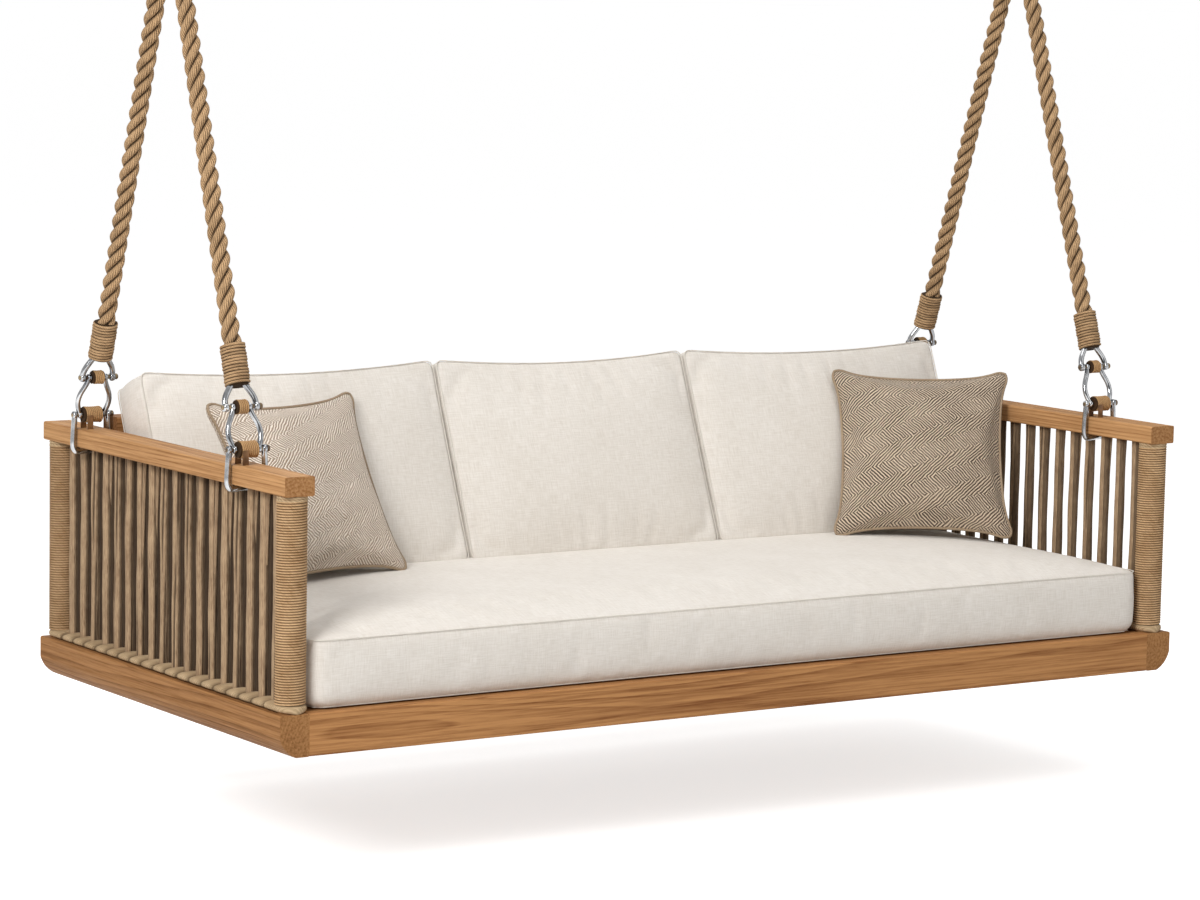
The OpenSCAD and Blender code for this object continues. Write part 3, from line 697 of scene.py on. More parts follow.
class Chevron(Effect):
    """Raised threads that slant one way or the other by cells, on a UV map in metres."""

    title = "chevron"
    inputs = {
        "Vector": "Vector", "Column": "Float", "Block": "Float", "Pitch": "Float",
        "Wander": "Float",
    }
    outputs = {"Shade": "Float", "Height": "Float"}

    @classmethod
    def build(cls, graph: Graph, given: Sockets) -> Sockets:
        """Lay slanting threads in cells that change direction, with edges bent by noise."""
        drift = graph.noise(given["Vector"], 45.0, 2.0, "Color")
        moved = graph.vector("SUBTRACT", drift, HALF)
        vector = graph.vector("MULTIPLY_ADD", moved, given["Wander"], given["Vector"])
        split = graph.add("SeparateXYZ", {0: vector}).outputs
        across, up = split[0], split[1]
        column = graph.math("FLOOR", graph.math("DIVIDE", across, given["Column"]))
        lag = graph.times(graph.math("FRACT", graph.times(column, 0.37)), 2)
        block = graph.math("DIVIDE", up, graph.times(given["Column"], given["Block"]))
        row = graph.math("FLOOR", graph.math("ADD", block, lag))
        parity = graph.math("MODULO", graph.math("ABSOLUTE", graph.math("ADD", column, row)), 2.0)
        slid = graph.fuse(across, graph.fuse(parity, 2.0, -1.0), up)
        wave = graph.math("SINE", graph.times(graph.math("DIVIDE", slid, given["Pitch"]), TURN))
        crest = graph.span(wave, -0.75, 0.6)
        height = graph.fuse(graph.streaks(vector, (420, 420, 1), 2.0), 0.45, crest)
        return {"Shade": graph.span(height, 0.2, 1.15), "Height": height}


class LaidYarn(Effect):
    """Yarns that run slantwise over a strand, with loose fibres, on a UV map in metres."""

    title = "laid_yarn"
    inputs = {"Vector": "Vector", "Pitch": "Float", "Slant": "Float", "Bold": "Float"}
    outputs = {"Shade": "Float", "Height": "Float"}

    @classmethod
    def build(cls, graph: Graph, given: Sockets) -> Sockets:
        """Slant a wave across the strand and streak it with fibres along the yarns."""
        split = graph.add("SeparateXYZ", {0: given["Vector"]}).outputs
        slid = graph.fuse(split[1], given["Slant"], split[0])
        turned = graph.math("DIVIDE", graph.times(slid, TURN), given["Pitch"])
        yarn = graph.fuse(graph.math("SINE", turned), 0.5, 0.5)
        along = graph.add("CombineXYZ", {0: slid, 1: split[1]}).outputs[0]
        fibre = graph.streaks(along, (900, 55, 1), 3.0)
        cloud = graph.noise(given["Vector"], 26.0, 3.0)
        bold = graph.times(yarn, given["Bold"])
        shade = graph.math("ADD", bold, graph.fuse(cloud, 0.4, graph.times(fibre, 0.9)))
        height = graph.fuse(fibre, 0.8, graph.times(bold, 1.6))
        return {"Shade": graph.span(shade, 0.5, 1.0), "Height": height}


class Mottle(Effect):
    """Cloudy wear: a mask of handled or weathered places."""

    title = "mottle"
    inputs = {"Vector": "Vector", "Size": "Float"}
    outputs = {"Mask": "Float", "Height": "Float"}

    @classmethod
    def build(cls, graph: Graph, given: Sockets) -> Sockets:
        """Lay a fine noise over a coarse one."""
        scale = graph.math("DIVIDE", 1.0, given["Size"])
        broad = graph.noise(given["Vector"], scale, 4.0)
        fine = graph.noise(given["Vector"], graph.times(scale, 9.0), 3.0)
        return {"Mask": graph.span(broad, 0.35, 0.65), "Height": graph.fuse(fine, 0.4, broad)}


# ---- Finishes ----


def tint(code: str) -> Colour:
    """Turn a hex colour as it is seen on the screen into a linear one."""
    values = [int(code[k : k + 2], 16) / 255 for k in (0, 2, 4)]
    linear = [v / 12.92 if v <= 0.04045 else ((v + 0.055) / 1.055) ** 2.4 for v in values]
    return (*linear, 1.0)


@dataclass(frozen=True)
class Finish:
    """A Principled material in two tones. Its subclasses draw what changes over the surface."""

    name: str
    pale: str
    deep: str

    def material(self) -> Look:
        """Build the material."""
        made = bpy.data.materials.new(self.name)
        made.use_nodes = True
        graph = Graph(made.node_tree)
        shader = made.node_tree.nodes["Principled BSDF"]
        for name, value in self.paint(graph, graph.add("TexCoord").outputs).items():
            graph.feed(shader.inputs[name], value)
        return made

    def tone(self, graph: Graph, shade: Socket) -> Socket:
        """Mix the finish's tones, from the deep one at 0 to the pale one at 1."""
        return graph.mix(shade, tint(self.deep), tint(self.pale))

    def paint(self, graph: Graph, coords: Sockets) -> dict[str, object]:
        """Draw the surface and return a value or socket for each shader input that it sets."""
        raise NotImplementedError


@dataclass(frozen=True)
class Teak(Finish):
    """Oiled teak, with its pith outside the board so that its ends show arcs."""

    grain: Grain
    pith: tuple[float, float, float]
    end: float
    ring: float = 0.0075

    def paint(self, graph: Graph, coords: Sockets) -> dict[str, object]:
        """Turn the wood's pattern along the board and darken its end grain."""
        turned = Euler(self.grain.value).to_matrix()
        place = -(turned @ Vector(self.pith))
        along = turned.transposed() @ Vector((0, 0, 1))
        facing = graph.math("ABSOLUTE", graph.vector("DOT_PRODUCT", coords["Normal"], along))
        wood = WoodGrain.place(
            graph, vector=graph.stretch(coords["Object"], (1, 1, 1), place, self.grain.value),
            ring_width=self.ring, early_wood=tint(self.pale), late_wood=tint(self.deep),
            end_grain=graph.span(facing, 0.75, 0.95), end_shade=self.end,
        )
        return {
            "Base Color": wood["Color"], "Roughness": wood["Roughness"],
            "Specular IOR Level": 0.05, "Normal": graph.bump(wood["Height"], 0.00035),
        }


@dataclass(frozen=True)
class Linen(Finish):
    """Plain woven upholstery linen."""

    thread: float = 0.0022

    def paint(self, graph: Graph, coords: Sockets) -> dict[str, object]:
        """Lay a plain weave over soft clouds."""
        woven = Weave.place(graph, vector=coords["UV"], thread=self.thread)
        cloud = Mottle.place(graph, vector=coords["Object"], size=0.11)
        shade = graph.fuse(cloud["Mask"], 0.25, woven["Shade"])
        return {
            "Base Color": self.tone(graph, graph.span(shade, 0.1, 1.2)), "Roughness": 0.92,
            "Sheen Weight": 0.18, "Sheen Roughness": 0.5,
            "Normal": graph.bump(woven["Height"], 0.0008),
        }


@dataclass(frozen=True)
class ChevronCloth(Finish):
    """Cloth with raised zigzag threads."""

    column: float
    block: float
    pitch: float
    wander: float

    def paint(self, graph: Graph, coords: Sockets) -> dict[str, object]:
        """Lay the zigzag over soft clouds."""
        zigzag = Chevron.place(
            graph, vector=coords["UV"], column=self.column, block=self.block,
            pitch=self.pitch, wander=self.wander,
        )
        cloud = Mottle.place(graph, vector=coords["Object"], size=0.06)
        shade = graph.fuse(cloud["Mask"], 0.2, zigzag["Shade"])
        return {
            "Base Color": self.tone(graph, graph.span(shade, 0.1, 0.95)), "Roughness": 0.9,
            "Sheen Weight": 0.15, "Normal": graph.bump(zigzag["Height"], 0.0035),
        }


@dataclass(frozen=True)
class Yarn(Finish):
    """Laid or wrapped fibre: rope, twine and cord."""

    pitch: float
    slant: float = 0.0
    depth: float = 0.0009
    # Colour of the painted shade, and how far the deepest painted shade goes towards it
    groove: str = "4a3420"
    dark: float = 0.85
    bold: float = 0.25

    def paint(self, graph: Graph, coords: Sockets) -> dict[str, object]:
        """Lay the yarns and darken them towards the shade colour by the painted shade that the mesh
        has noted.
        """
        laid = LaidYarn.place(
            graph, vector=coords["UV"], pitch=self.pitch, slant=self.slant, bold=self.bold
        )
        cloud = Mottle.place(graph, vector=coords["Object"], size=0.05)
        shade = graph.fuse(cloud["Mask"], 0.22, graph.times(laid["Shade"], 0.85))
        hollow = graph.add("Attribute", attribute_name="hollow").outputs["Fac"]
        # Painted shade: how far each place goes towards the shade colour
        deep = graph.span(hollow, 0.1, 1.0, 0.0, self.dark)
        return {
            "Base Color": graph.mix(deep, self.tone(graph, shade), tint(self.groove)),
            "Roughness": 0.85, "Specular IOR Level": 0.12, "Sheen Weight": 0.02,
            "Normal": graph.bump(laid["Height"], self.depth),
        }


@dataclass(frozen=True)
class Metal(Finish):
    """Forged or galvanised steel with hammer marks and rubbed places."""

    rough: tuple[float, float] = (0.12, 0.2)
    depth: float = 0.00003

    def paint(self, graph: Graph, coords: Sockets) -> dict[str, object]:
        """Rub the metal pale and smooth in some places."""
        marks = Mottle.place(graph, vector=coords["Object"], size=0.03)
        smooth, coarse = self.rough
        return {
            "Base Color": self.tone(graph, marks["Mask"]), "Metallic": 1.0,
            "Roughness": graph.span(marks["Mask"], 0.0, 1.0, coarse, smooth),
            "Normal": graph.bump(marks["Height"], self.depth),
        }


@dataclass(frozen=True)
class Leather(Finish):
    """Vegetable-tanned leather, darker where it is handled."""

    def paint(self, graph: Graph, coords: Sockets) -> dict[str, object]:
        """Pebble the leather and wear it in places."""
        marks = Mottle.place(graph, vector=coords["Object"], size=0.02)
        pebble = graph.add("TexVoronoi", {"Vector": coords["Object"], "Scale": 650.0}).outputs
        height = graph.fuse(pebble["Distance"], 0.5, marks["Height"])
        return {
            "Base Color": self.tone(graph, marks["Mask"]),
            "Roughness": graph.span(marks["Mask"], 0.0, 1.0, 0.42, 0.6),
            "Normal": graph.bump(height, 0.0005),
        }


# ---- Timber and metal that keep their CAD shape ----


@dataclass
class Dressing:
    """A finish for CAD nodes whose shape is already right."""

    nodes: Sequence[str]
    finish: Finish

    def build(self, frame: dict) -> None:
        """Put the finish on every material slot of the nodes."""
        made = self.finish.material()
        for name in self.nodes:
            for place in frame["nodes"][name].material_slots:
                place.material = made
            LOG.info("%s: finished in %s", name, made.name)


class Board(Enum):
    """Early wood, late wood and the shade of the end grain, by where a board sits."""

    APRON = ("bb8857", "7b4c2b", 0.02)
    BEAM = ("ab7c4f", "6f4726", 0.02)
    # The back rail's darker tones are painted shade from the cushions that lean on it
    BACK = ("a8784d", "704928", 0.46)
    PLAIN = ("c69767", "8f623b", 0.46)


class Timber:
    """The teak frame: each group of boards has its own pith and grain direction."""

    groups = (
        (Board.APRON, Grain.X, (0.0, -0.455, -1.64), "front_apron"),
        (Board.APRON, Grain.X, (0.0, 0.42, -1.60), "rear_apron"),
        (Board.BACK, Grain.X, (0.0, 0.30, -1.19), "back_rail"),
        (Board.PLAIN, Grain.X, (0.0, 0.2, -1.75), "back_bearer", "middle_bearer", "slat_ledgers"),
        (Board.BEAM, Grain.Y, (-1.015, 0.0, -1.645), "left_side_beam"),
        (Board.BEAM, Grain.Y, (1.01, 0.0, -1.60), "right_side_beam"),
        (Board.PLAIN, Grain.Y, (-1.055, 0.0, -1.215), "left_arm_rail"),
        (Board.PLAIN, Grain.Y, (1.06, 0.0, -1.21), "right_arm_rail"),
        (Board.PLAIN, Grain.Y, (0.03, 0.0, -1.9), "seat_slats"),
        (Board.PLAIN, Grain.Z, (0.0, 0.03, 0.0), "left_posts", "right_posts", "back_posts"),
    )

    def build(self, frame: dict) -> None:
        """Dress all wooden nodes."""
        for number, (board, grain, pith, *nodes) in enumerate(self.groups):
            early, late, end = board.value
            Dressing(nodes, Teak(f"teak_{number}", early, late, grain, pith, end)).build(frame)


class Hardware:
    """Sockets, bolts and brackets at the top, which keep their CAD shape."""

    def build(self, frame: dict) -> None:
        """Dress all forged nodes."""
        forged = [corner.name("socket") for corner in CORNERS]
        forged += [
            f"{side.label}_{part}" for side in Side for part in ("ceiling_bracket", "pivot_bolt")
        ]
        steel = Metal("steel_forged", "b4b3b0", "6f6e6c", rough=(0.34, 0.55), depth=0.00012)
        Dressing(forged, steel).build(frame)


@dataclass
class Chain:
    """The bars, pins and spools between a rail and a rope's end. All sizes are in mm."""

    leg_x: float = 38.4
    bar_d: float = 12.0
    link_d: float = 10.8
    strap_eye_x: tuple[float, float] = (34.3, 43.2)
    link_x: tuple[float, float] = (25.6, 17.6)
    shackle_x: float = 33.2
    pin_d: float = 9.0
    eye_d: float = 18.0
    spool_d: tuple[float, float] = (35.0, 30.0)
    spool_w: tuple[float, float] = (40.0, 24.5)
    cord_d: float = 4.2
    keeper: tuple[float, float] = (13.0, 2.6)
    keeper_clear: float = 38.0

    def build(self) -> None:
        """Model the pieces of one corner, copy them to all four and join them by their nodes."""
        steel = Metal("steel_bright", "c3c4c5", "84868a").material()
        bronze = Metal("pin_bronze", "a08c6c", "54453a", rough=(0.26, 0.45)).material()
        wound = Yarn(
            "spool_twine", "d3ab7b", "926b43", 0.0026, slant=0.5, groove="2e1c0d", dark=0.95
        ).material()
        leather = Leather("strap_leather", "93693f", "553a21").material()
        models = {
            part: Shop.join(part, pieces)
            for part, pieces in (
                ("rail_strap", self.strap()), ("link", self.link()), ("shackle", self.shackle()),
                ("pins", self.pins()), ("spools", self.spools()), ("keepers", self.keepers()),
            )
        }
        for side in Side:
            corners = [corner for corner in CORNERS if corner.side is side]
            for corner in corners:
                for part in ("rail_strap", "link", "shackle"):
                    place = corner.upright if part == "rail_strap" else corner.place
                    piece = Shop.copy(models[part], corner.name(f"bent_{part}"), place)
                    Shop.finish(piece, steel, "steel", "bed", [corner.name(part)], SHARP)
            for part, finish, slot in (("pins", bronze, "steel"), ("spools", wound, "leather")):
                piece = Shop.spread(
                    models[part], f"{side.label}_made_{part}", [c.place for c in corners]
                )
                Shop.finish(piece, finish, slot, "bed", [f"{side.label}_{part}"], SHARP)
        made = Shop.spread(models["keepers"], "made_keepers", [c.upright for c in CORNERS])
        Shop.finish(made, leather, "leather", "bed", ["keeper_straps"], angle=0.6)
        Shop.discard(*models.values())

    def bar(self, line: Sequence[tuple[float, float]]) -> Piece:
        """Bend one bar: line gives its right half as x and z, from its eye to the middle."""
        right, left = ([(way * x * MM, 0.0, z * MM) for x, z in line] for way in WAYS)
        return Shop.tube("bar", right + left[::-1], self.bar_d / 2 * MM)

    @staticmethod
    def eyes(x: float, half: float, z: float, diameter: float, bevel: float) -> list[Piece]:
        """Model the right and the left eye at a height.

        Args:
            x: Middle of the right eye.
            half: Half its width.
            z: Its height over the lower pin.
            diameter: Its diameter.
            bevel: Roundness of its edges.

        Returns:
            Both eyes.
        """
        return [
            Shop.disc("eye", diameter, way * x - half, way * x + half, z, bevel) for way in WAYS
        ]

    def strap(self) -> list[Piece]:
        """The U-shaped bar under the rail, with its two eyes about the lower pin."""
        low = PLAN.rail_z - 0.3 - self.bar_d / 2 - PLAN.lower_pin_z
        bends = (
            (-1.2, 4), (-0.4, -6), (1.0, -22), (2.0, low + 30), (3.0, low + 15),
            (1.5, low + 4.5), (-4, low - 2.5), (-13, low - 2.5), (-24, low - 0.5),
        )
        inner, outer = self.strap_eye_x
        eyes = self.eyes((inner + outer) / 2, (outer - inner) / 2, 0, self.eye_d - 2, 3.5)
        return [self.bar([(self.leg_x + out, z) for out, z in bends])] + eyes

    def link(self) -> list[Piece]:
        """Two bowed bars, widest above the lower spool, with an eye at each end."""
        low, high = self.link_x
        top = PLAN.link_l
        line = ((low, 0), (low + 3.5, 7), (low + 9, 20), (low + 9.8, 35), (low + 5.5, 52),
                (high + 2.0, 70), (high, top))
        bars = [
            Shop.tube("bar", [(way * x * MM, 0.0, z * MM) for x, z in line], self.link_d / 2 * MM)
            for way in WAYS
        ]
        half = self.link_d / 2 - 0.4
        return bars + [
            eye for x, z in ((low, 0), (high, top))
            for eye in self.eyes(x, half, z, self.eye_d - 3, 3.0)
        ]

    def shackle(self) -> list[Piece]:
        """The bow from the upper pin into the rope's end."""
        out, top = self.shackle_x, PLAN.link_l
        bends = ((0, 0), (0.6, 7), (-1.5, 18), (-9, 30), (-17, 41), (-19, 50), (-24, 57))
        bow = self.bar([(out + x, top + z) for x, z in bends])
        return [bow] + self.eyes(out, self.bar_d / 2 - 0.3, top, self.eye_d, 4.0)

    def pins(self) -> list[Piece]:
        """A headed pin through the lower eyes and one through the upper eyes."""
        top = PLAN.link_l
        return [
            Shop.disc("pin", self.pin_d, -44.5, 44.5, 0, 2.0),
            Shop.disc("head", 13.0, 43.5, 48.5, 0, 2.2),
            Shop.disc("pin", self.pin_d, -41.5, 41.5, top, 2.0),
            Shop.disc("head", 12.5, 38.5, 46.0, top, 3.4),
        ]

    def spools(self) -> list[Piece]:
        """Both spools: a dark core with fine cord wound round it, along X."""
        return [
            self.spool(wide, across / 2 * MM, z)
            for wide, across, z in zip(self.spool_w, self.spool_d, (0.0, PLAN.link_l))
        ]

    def spool(self, wide: float, outer: float, z: float) -> Piece:
        """Wind one spool.

        Args:
            wide: Its width in mm.
            outer: Its radius in metres.
            z: Its height over the lower pin in mm.

        Returns:
            The spool.
        """
        turns = round(wide / self.cord_d) - 1
        pitch, thick = wide / (turns + 1) * MM, self.cord_d * MM
        coil = Shop.coil(pitch * 0.52, outer - thick / 2, pitch / 2, pitch, turns)
        core = Shop.drum("core", outer - thick * 0.55, wide * MM, 0)
        piece = Shop.join("spool", [coil, core])
        Shop.wrap_uv(piece, outer, wound=True)
        # Painted shade by depth under the outer turns: in the grooves between them, and full on the
        # core
        Shop.hollow(piece, (outer - Shop.reach(piece)) / (thick * 0.42) - 0.1)

        def waist(at: np.ndarray) -> np.ndarray:
            """Draw the middle of the spool in a little."""
            slim = 0.93 + 0.07 * (2 * at[:, 2] / (wide * MM) - 1) ** 2
            return at * np.stack([slim, slim, np.ones_like(slim)], axis=1)

        Shop.push(piece, waist)
        middle = Matrix.Translation((-wide / 2 * MM, 0, z * MM))
        piece.data.transform(middle @ Matrix.Rotation(math.pi / 2, 4, "Y"))
        return piece

    def keepers(self) -> list[Piece]:
        """The narrow leather strap from the lower spool down to the rail, on both sides."""
        wide, thick = self.keeper
        across = self.spool_d[0] / 2 - 1.8
        drop = PLAN.lower_pin_z - PLAN.rail_z - self.keeper_clear
        pieces = []
        for way in WAYS[::-1]:
            Shop.clear()
            bpy.ops.mesh.primitive_cube_add(
                size=1, location=(-10 * MM, way * across * MM, -drop / 2 * MM),
                scale=(wide * MM, thick * MM, drop * MM),
            )
            pieces.append(Shop.soften(Shop.fresh("keeper"), 0.8 * MM, 2))
        return pieces


# ---- Ropes and their servings ----


@dataclass
class Rope:
    """The three-strand rope legs with their twine servings. All sizes are in mm."""

    diameter: float = 36.0
    fuller: float = 1.05
    start: float = 151.0
    socket_floor: float = 102.1
    lay: float = 99.0
    strand: tuple[float, float] = (0.49, 0.51)
    serving_start: float = 122.0
    serving_l: float = 85.0
    serving_d: float = 51.0
    serving_turns: int = 13

    def length(self, end: End) -> float:
        """Length of a front or a rear rope."""
        return PLAN.run(end) - self.socket_floor - self.start

    def build(self) -> None:
        rope_yarn = Yarn(
            "manila_rope", "d4ae83", "644a30", 0.0045239, depth=0.0022, groove="2b1a0b",
            dark=0.95, bold=0.6,
        ).material()
        twine = Yarn(
            "serving_twine", "d2ae84", "77583a", 0.003, slant=0.7, groove="271808", dark=0.95
        ).material()
        serving_model = self.serving()
        models = {end: self.laid(end) for end in End}
        for corner in CORNERS:
            serving = Shop.copy(serving_model, corner.name("twine_serving"), corner.place)
            Shop.finish(serving, twine, "twine", "bed", [corner.name("serving")])
            foot = corner.place @ Matrix.Translation((0, 0, self.start * MM))
            rope = Shop.copy(models[corner.end], corner.name("laid_rope"), foot)
            Shop.finish(rope, rope_yarn, "manila", "bed", [corner.name("rope")])
            length = self.length(corner.end)
            steps = np.linspace(self.start, self.start + length, 24)
            path = [tuple(corner.place @ Vector((0, 0, z * MM))) for z in steps]
        Shop.discard(serving_model, *models.values())

    def laid(self, end: End) -> Piece:
        """Lay a rope's three strands, from the origin up the Z axis."""
        length = self.length(end)
        thick = self.diameter / 2 * MM
        rope = Shop.circle("laid_rope", thick * self.fuller, 48)

        def strands(at: np.ndarray) -> np.ndarray:
            """Press three strands out of a round profile."""
            angle = np.arctan2(at[:, 1], at[:, 0])
            off = (angle + math.pi / 3) % (2 * math.pi / 3) - math.pi / 3
            centre, strand = self.strand
            reach = centre * np.cos(off) + np.sqrt(strand**2 - (centre * np.sin(off)) ** 2)
            return at * reach[:, None]

        Shop.push(rope, strands)
        turns = length / self.lay
        Shop.screw(rope, TURN * turns, length * MM, round(turns * 26))
        Shop.wrap_uv(rope, thick)
        # Painted shade in the grooves between the strands
        Shop.hollow(rope, (0.78 - Shop.reach(rope) / (thick * self.fuller)) / 0.2)
        return rope

    def serving(self) -> Piece:
        """Wind the twine round the rope's end, over a core."""
        pitch = self.serving_l / (self.serving_turns + 1) * MM
        thick = pitch * 0.98
        outer = self.serving_d / 2 * MM
        low = self.serving_start * MM
        coil = Shop.coil(thick / 2, outer - thick / 2, low + thick / 2, pitch, self.serving_turns)

        def uneven(at: np.ndarray) -> np.ndarray:
            """Let some turns lie a little proud of the others."""
            turn = (at[:, 2] - low) / pitch
            proud = 1 + 0.035 * np.sin(turn * 2.3) * np.sin(np.arctan2(at[:, 1], at[:, 0]) + turn)
            return at * np.stack([proud, proud, np.ones_like(proud)], axis=1)

        Shop.push(coil, uneven)
        core = Shop.drum("core", outer - thick * 0.8, (self.serving_l - 4) * MM, low + 2 * MM)
        Shop.soften(core, 0.002)
        piece = Shop.join("twine_serving", [coil, core])
        Shop.wrap_uv(piece, outer, wound=True)
        # Painted shade in the grooves between the turns
        Shop.hollow(piece, (outer - Shop.reach(piece)) / (thick * 0.42) - 0.06)
        return piece


# ---- The arms: windings, bindings and strung cords ----


@dataclass
class PostWinding:
    """Twine wound round the posts of both arms, and the cream rings under the rails, in mm."""

    wrap_t: float = 6.0
    low: float = 95.0
    high: float = 488.4
    turns: int = 76
    ring_d: float = 6.0
    ring_drop: float = 3.3
    ring_pitch: float = 5.6

    def build(self, twine: Look, cream: Look) -> None:
        """Wind one post and copy it to all four; the rear ones get painted shade."""
        pitch = (self.high - self.low) / (self.turns + 1)
        half = self.wrap_t / 2
        centre, outer = (PLAN.post_d / 2 + half) * MM, (PLAN.post_d / 2 + self.wrap_t) * MM
        coil = Shop.coil(half * MM, centre, 0.0, pitch * MM, self.turns, pitch / self.wrap_t)
        Shop.wrap_uv(coil, outer, wound=True)
        # Painted shade in the grooves between the turns
        Shop.hollow(coil, (outer - Shop.reach(coil)) / (self.wrap_t * 0.25 * MM) + 0.03)
        rings = []
        for number in range(2):
            Shop.clear()
            bpy.ops.mesh.primitive_torus_add(
                major_segments=40, minor_segments=10, major_radius=centre,
                minor_radius=self.ring_d / 2 * MM,
                location=(0, 0, (PLAN.rail_z - self.ring_drop - number * self.ring_pitch) * MM),
            )
            rings.append(Shop.fresh("ring"))
        ring = Shop.join("rings", rings)
        Shop.wrap_uv(ring, outer, wound=True)
        Shop.hollow(ring, np.zeros(len(ring.data.vertices)))
        for side in Side:
            for part, model, finish, slot, lift in (
                ("post_twine", coil, twine, "twine", self.low + pitch / 2),
                ("post_rings", ring, cream, "cream_cord", 0.0),
            ):
                places = [
                    Matrix.Translation(PLAN.at(side.value * PLAN.rail_x, y, lift))
                    for y in (PLAN.front_post_y, PLAN.rear_post_y)
                ]
                front, rear = (Shop.copy(model, "copy", place) for place in places)
                # The rear posts get painted shade all over, on top of their grooves
                if model is coil:
                    for spot in rear.data.attributes["hollow"].data:
                        spot.value = 0.34 + 0.5 * spot.value
                made = Shop.join(f"{side.label}_{part}", [front, rear])
                Shop.finish(made, finish, slot, "bed", [f"{side.label}_post_windings"])
        Shop.discard(coil, ring)


@dataclass
class Binding:
    """The braided cord binding that lies on each side beam round the posts and cords, in mm."""

    width: float = 62.0
    height: float = 18.0
    step: float = 2.6
    sides: int = 20

    def build(self, cream: Look) -> None:
        """Sweep a soft section along the beam, pinched where each cord enters."""
        length = PLAN.base_d - 2
        braid = Shop.circle("braid", 1.0, self.sides, upright=True)
        Shop.screw(braid, 0.0, length * MM, round(length / self.step), axis="Y")
        along = Shop.points(braid)[:, 1] / MM + 1
        # Painted shade in the pinches where the cords enter the binding
        Shop.hollow(braid, 1.25 - self.pinch(along) * 1.25)
        Shop.push(braid, self.puffs)
        Shop.chart(braid, lambda at: np.stack([at[:, 1], at[:, 0] + at[:, 2]], axis=1))
        for side in Side:
            place = Matrix.Translation(PLAN.at(side.value * PLAN.rail_x, 1, 0))
            piece = Shop.copy(braid, f"{side.label}_braid", place)
            Shop.finish(piece, cream, "cream_cord", "bed", [f"{side.label}_binding"])
        Shop.discard(braid)

    @staticmethod
    def pinch(along: np.ndarray) -> np.ndarray:
        """Fullness of the puffs, from 0 at a cord to 1 between two cords."""
        number = (along - PLAN.front_post_y) / (PLAN.cord_y(1) - PLAN.front_post_y)
        phase = number - np.floor(number)
        between = (number > 0.86) & (number < PLAN.cord_count + 0.14)
        return np.where(between, np.abs(np.sin(math.pi * phase)) ** 0.45, 1.0)

    def puffs(self, at: np.ndarray) -> np.ndarray:
        """Shape the unit tube into puffs between the cords, with round ends."""
        along = at[:, 1] / MM + 1
        pinch = self.pinch(along)
        near = np.minimum(along - 1, PLAN.base_d - 1 - along)
        reach = self.width / 2
        round_end = np.sqrt(np.clip(1 - (1 - np.clip(near / reach, 0, 1)) ** 2, 0.02, 1))
        wide = reach * (0.84 + 0.18 * pinch) * round_end
        tall = self.height / 2 * (0.6 + 0.42 * pinch) * (0.7 + 0.3 * round_end)
        bulge = np.sign(at[:, 0]) * np.abs(at[:, 0]) ** 0.8
        rise = np.sign(at[:, 2]) * np.abs(at[:, 2]) ** 0.7
        return np.stack(
            [bulge * wide * MM, at[:, 1], (PLAN.base_h + tall * (1 + rise)) * MM], axis=1
        )


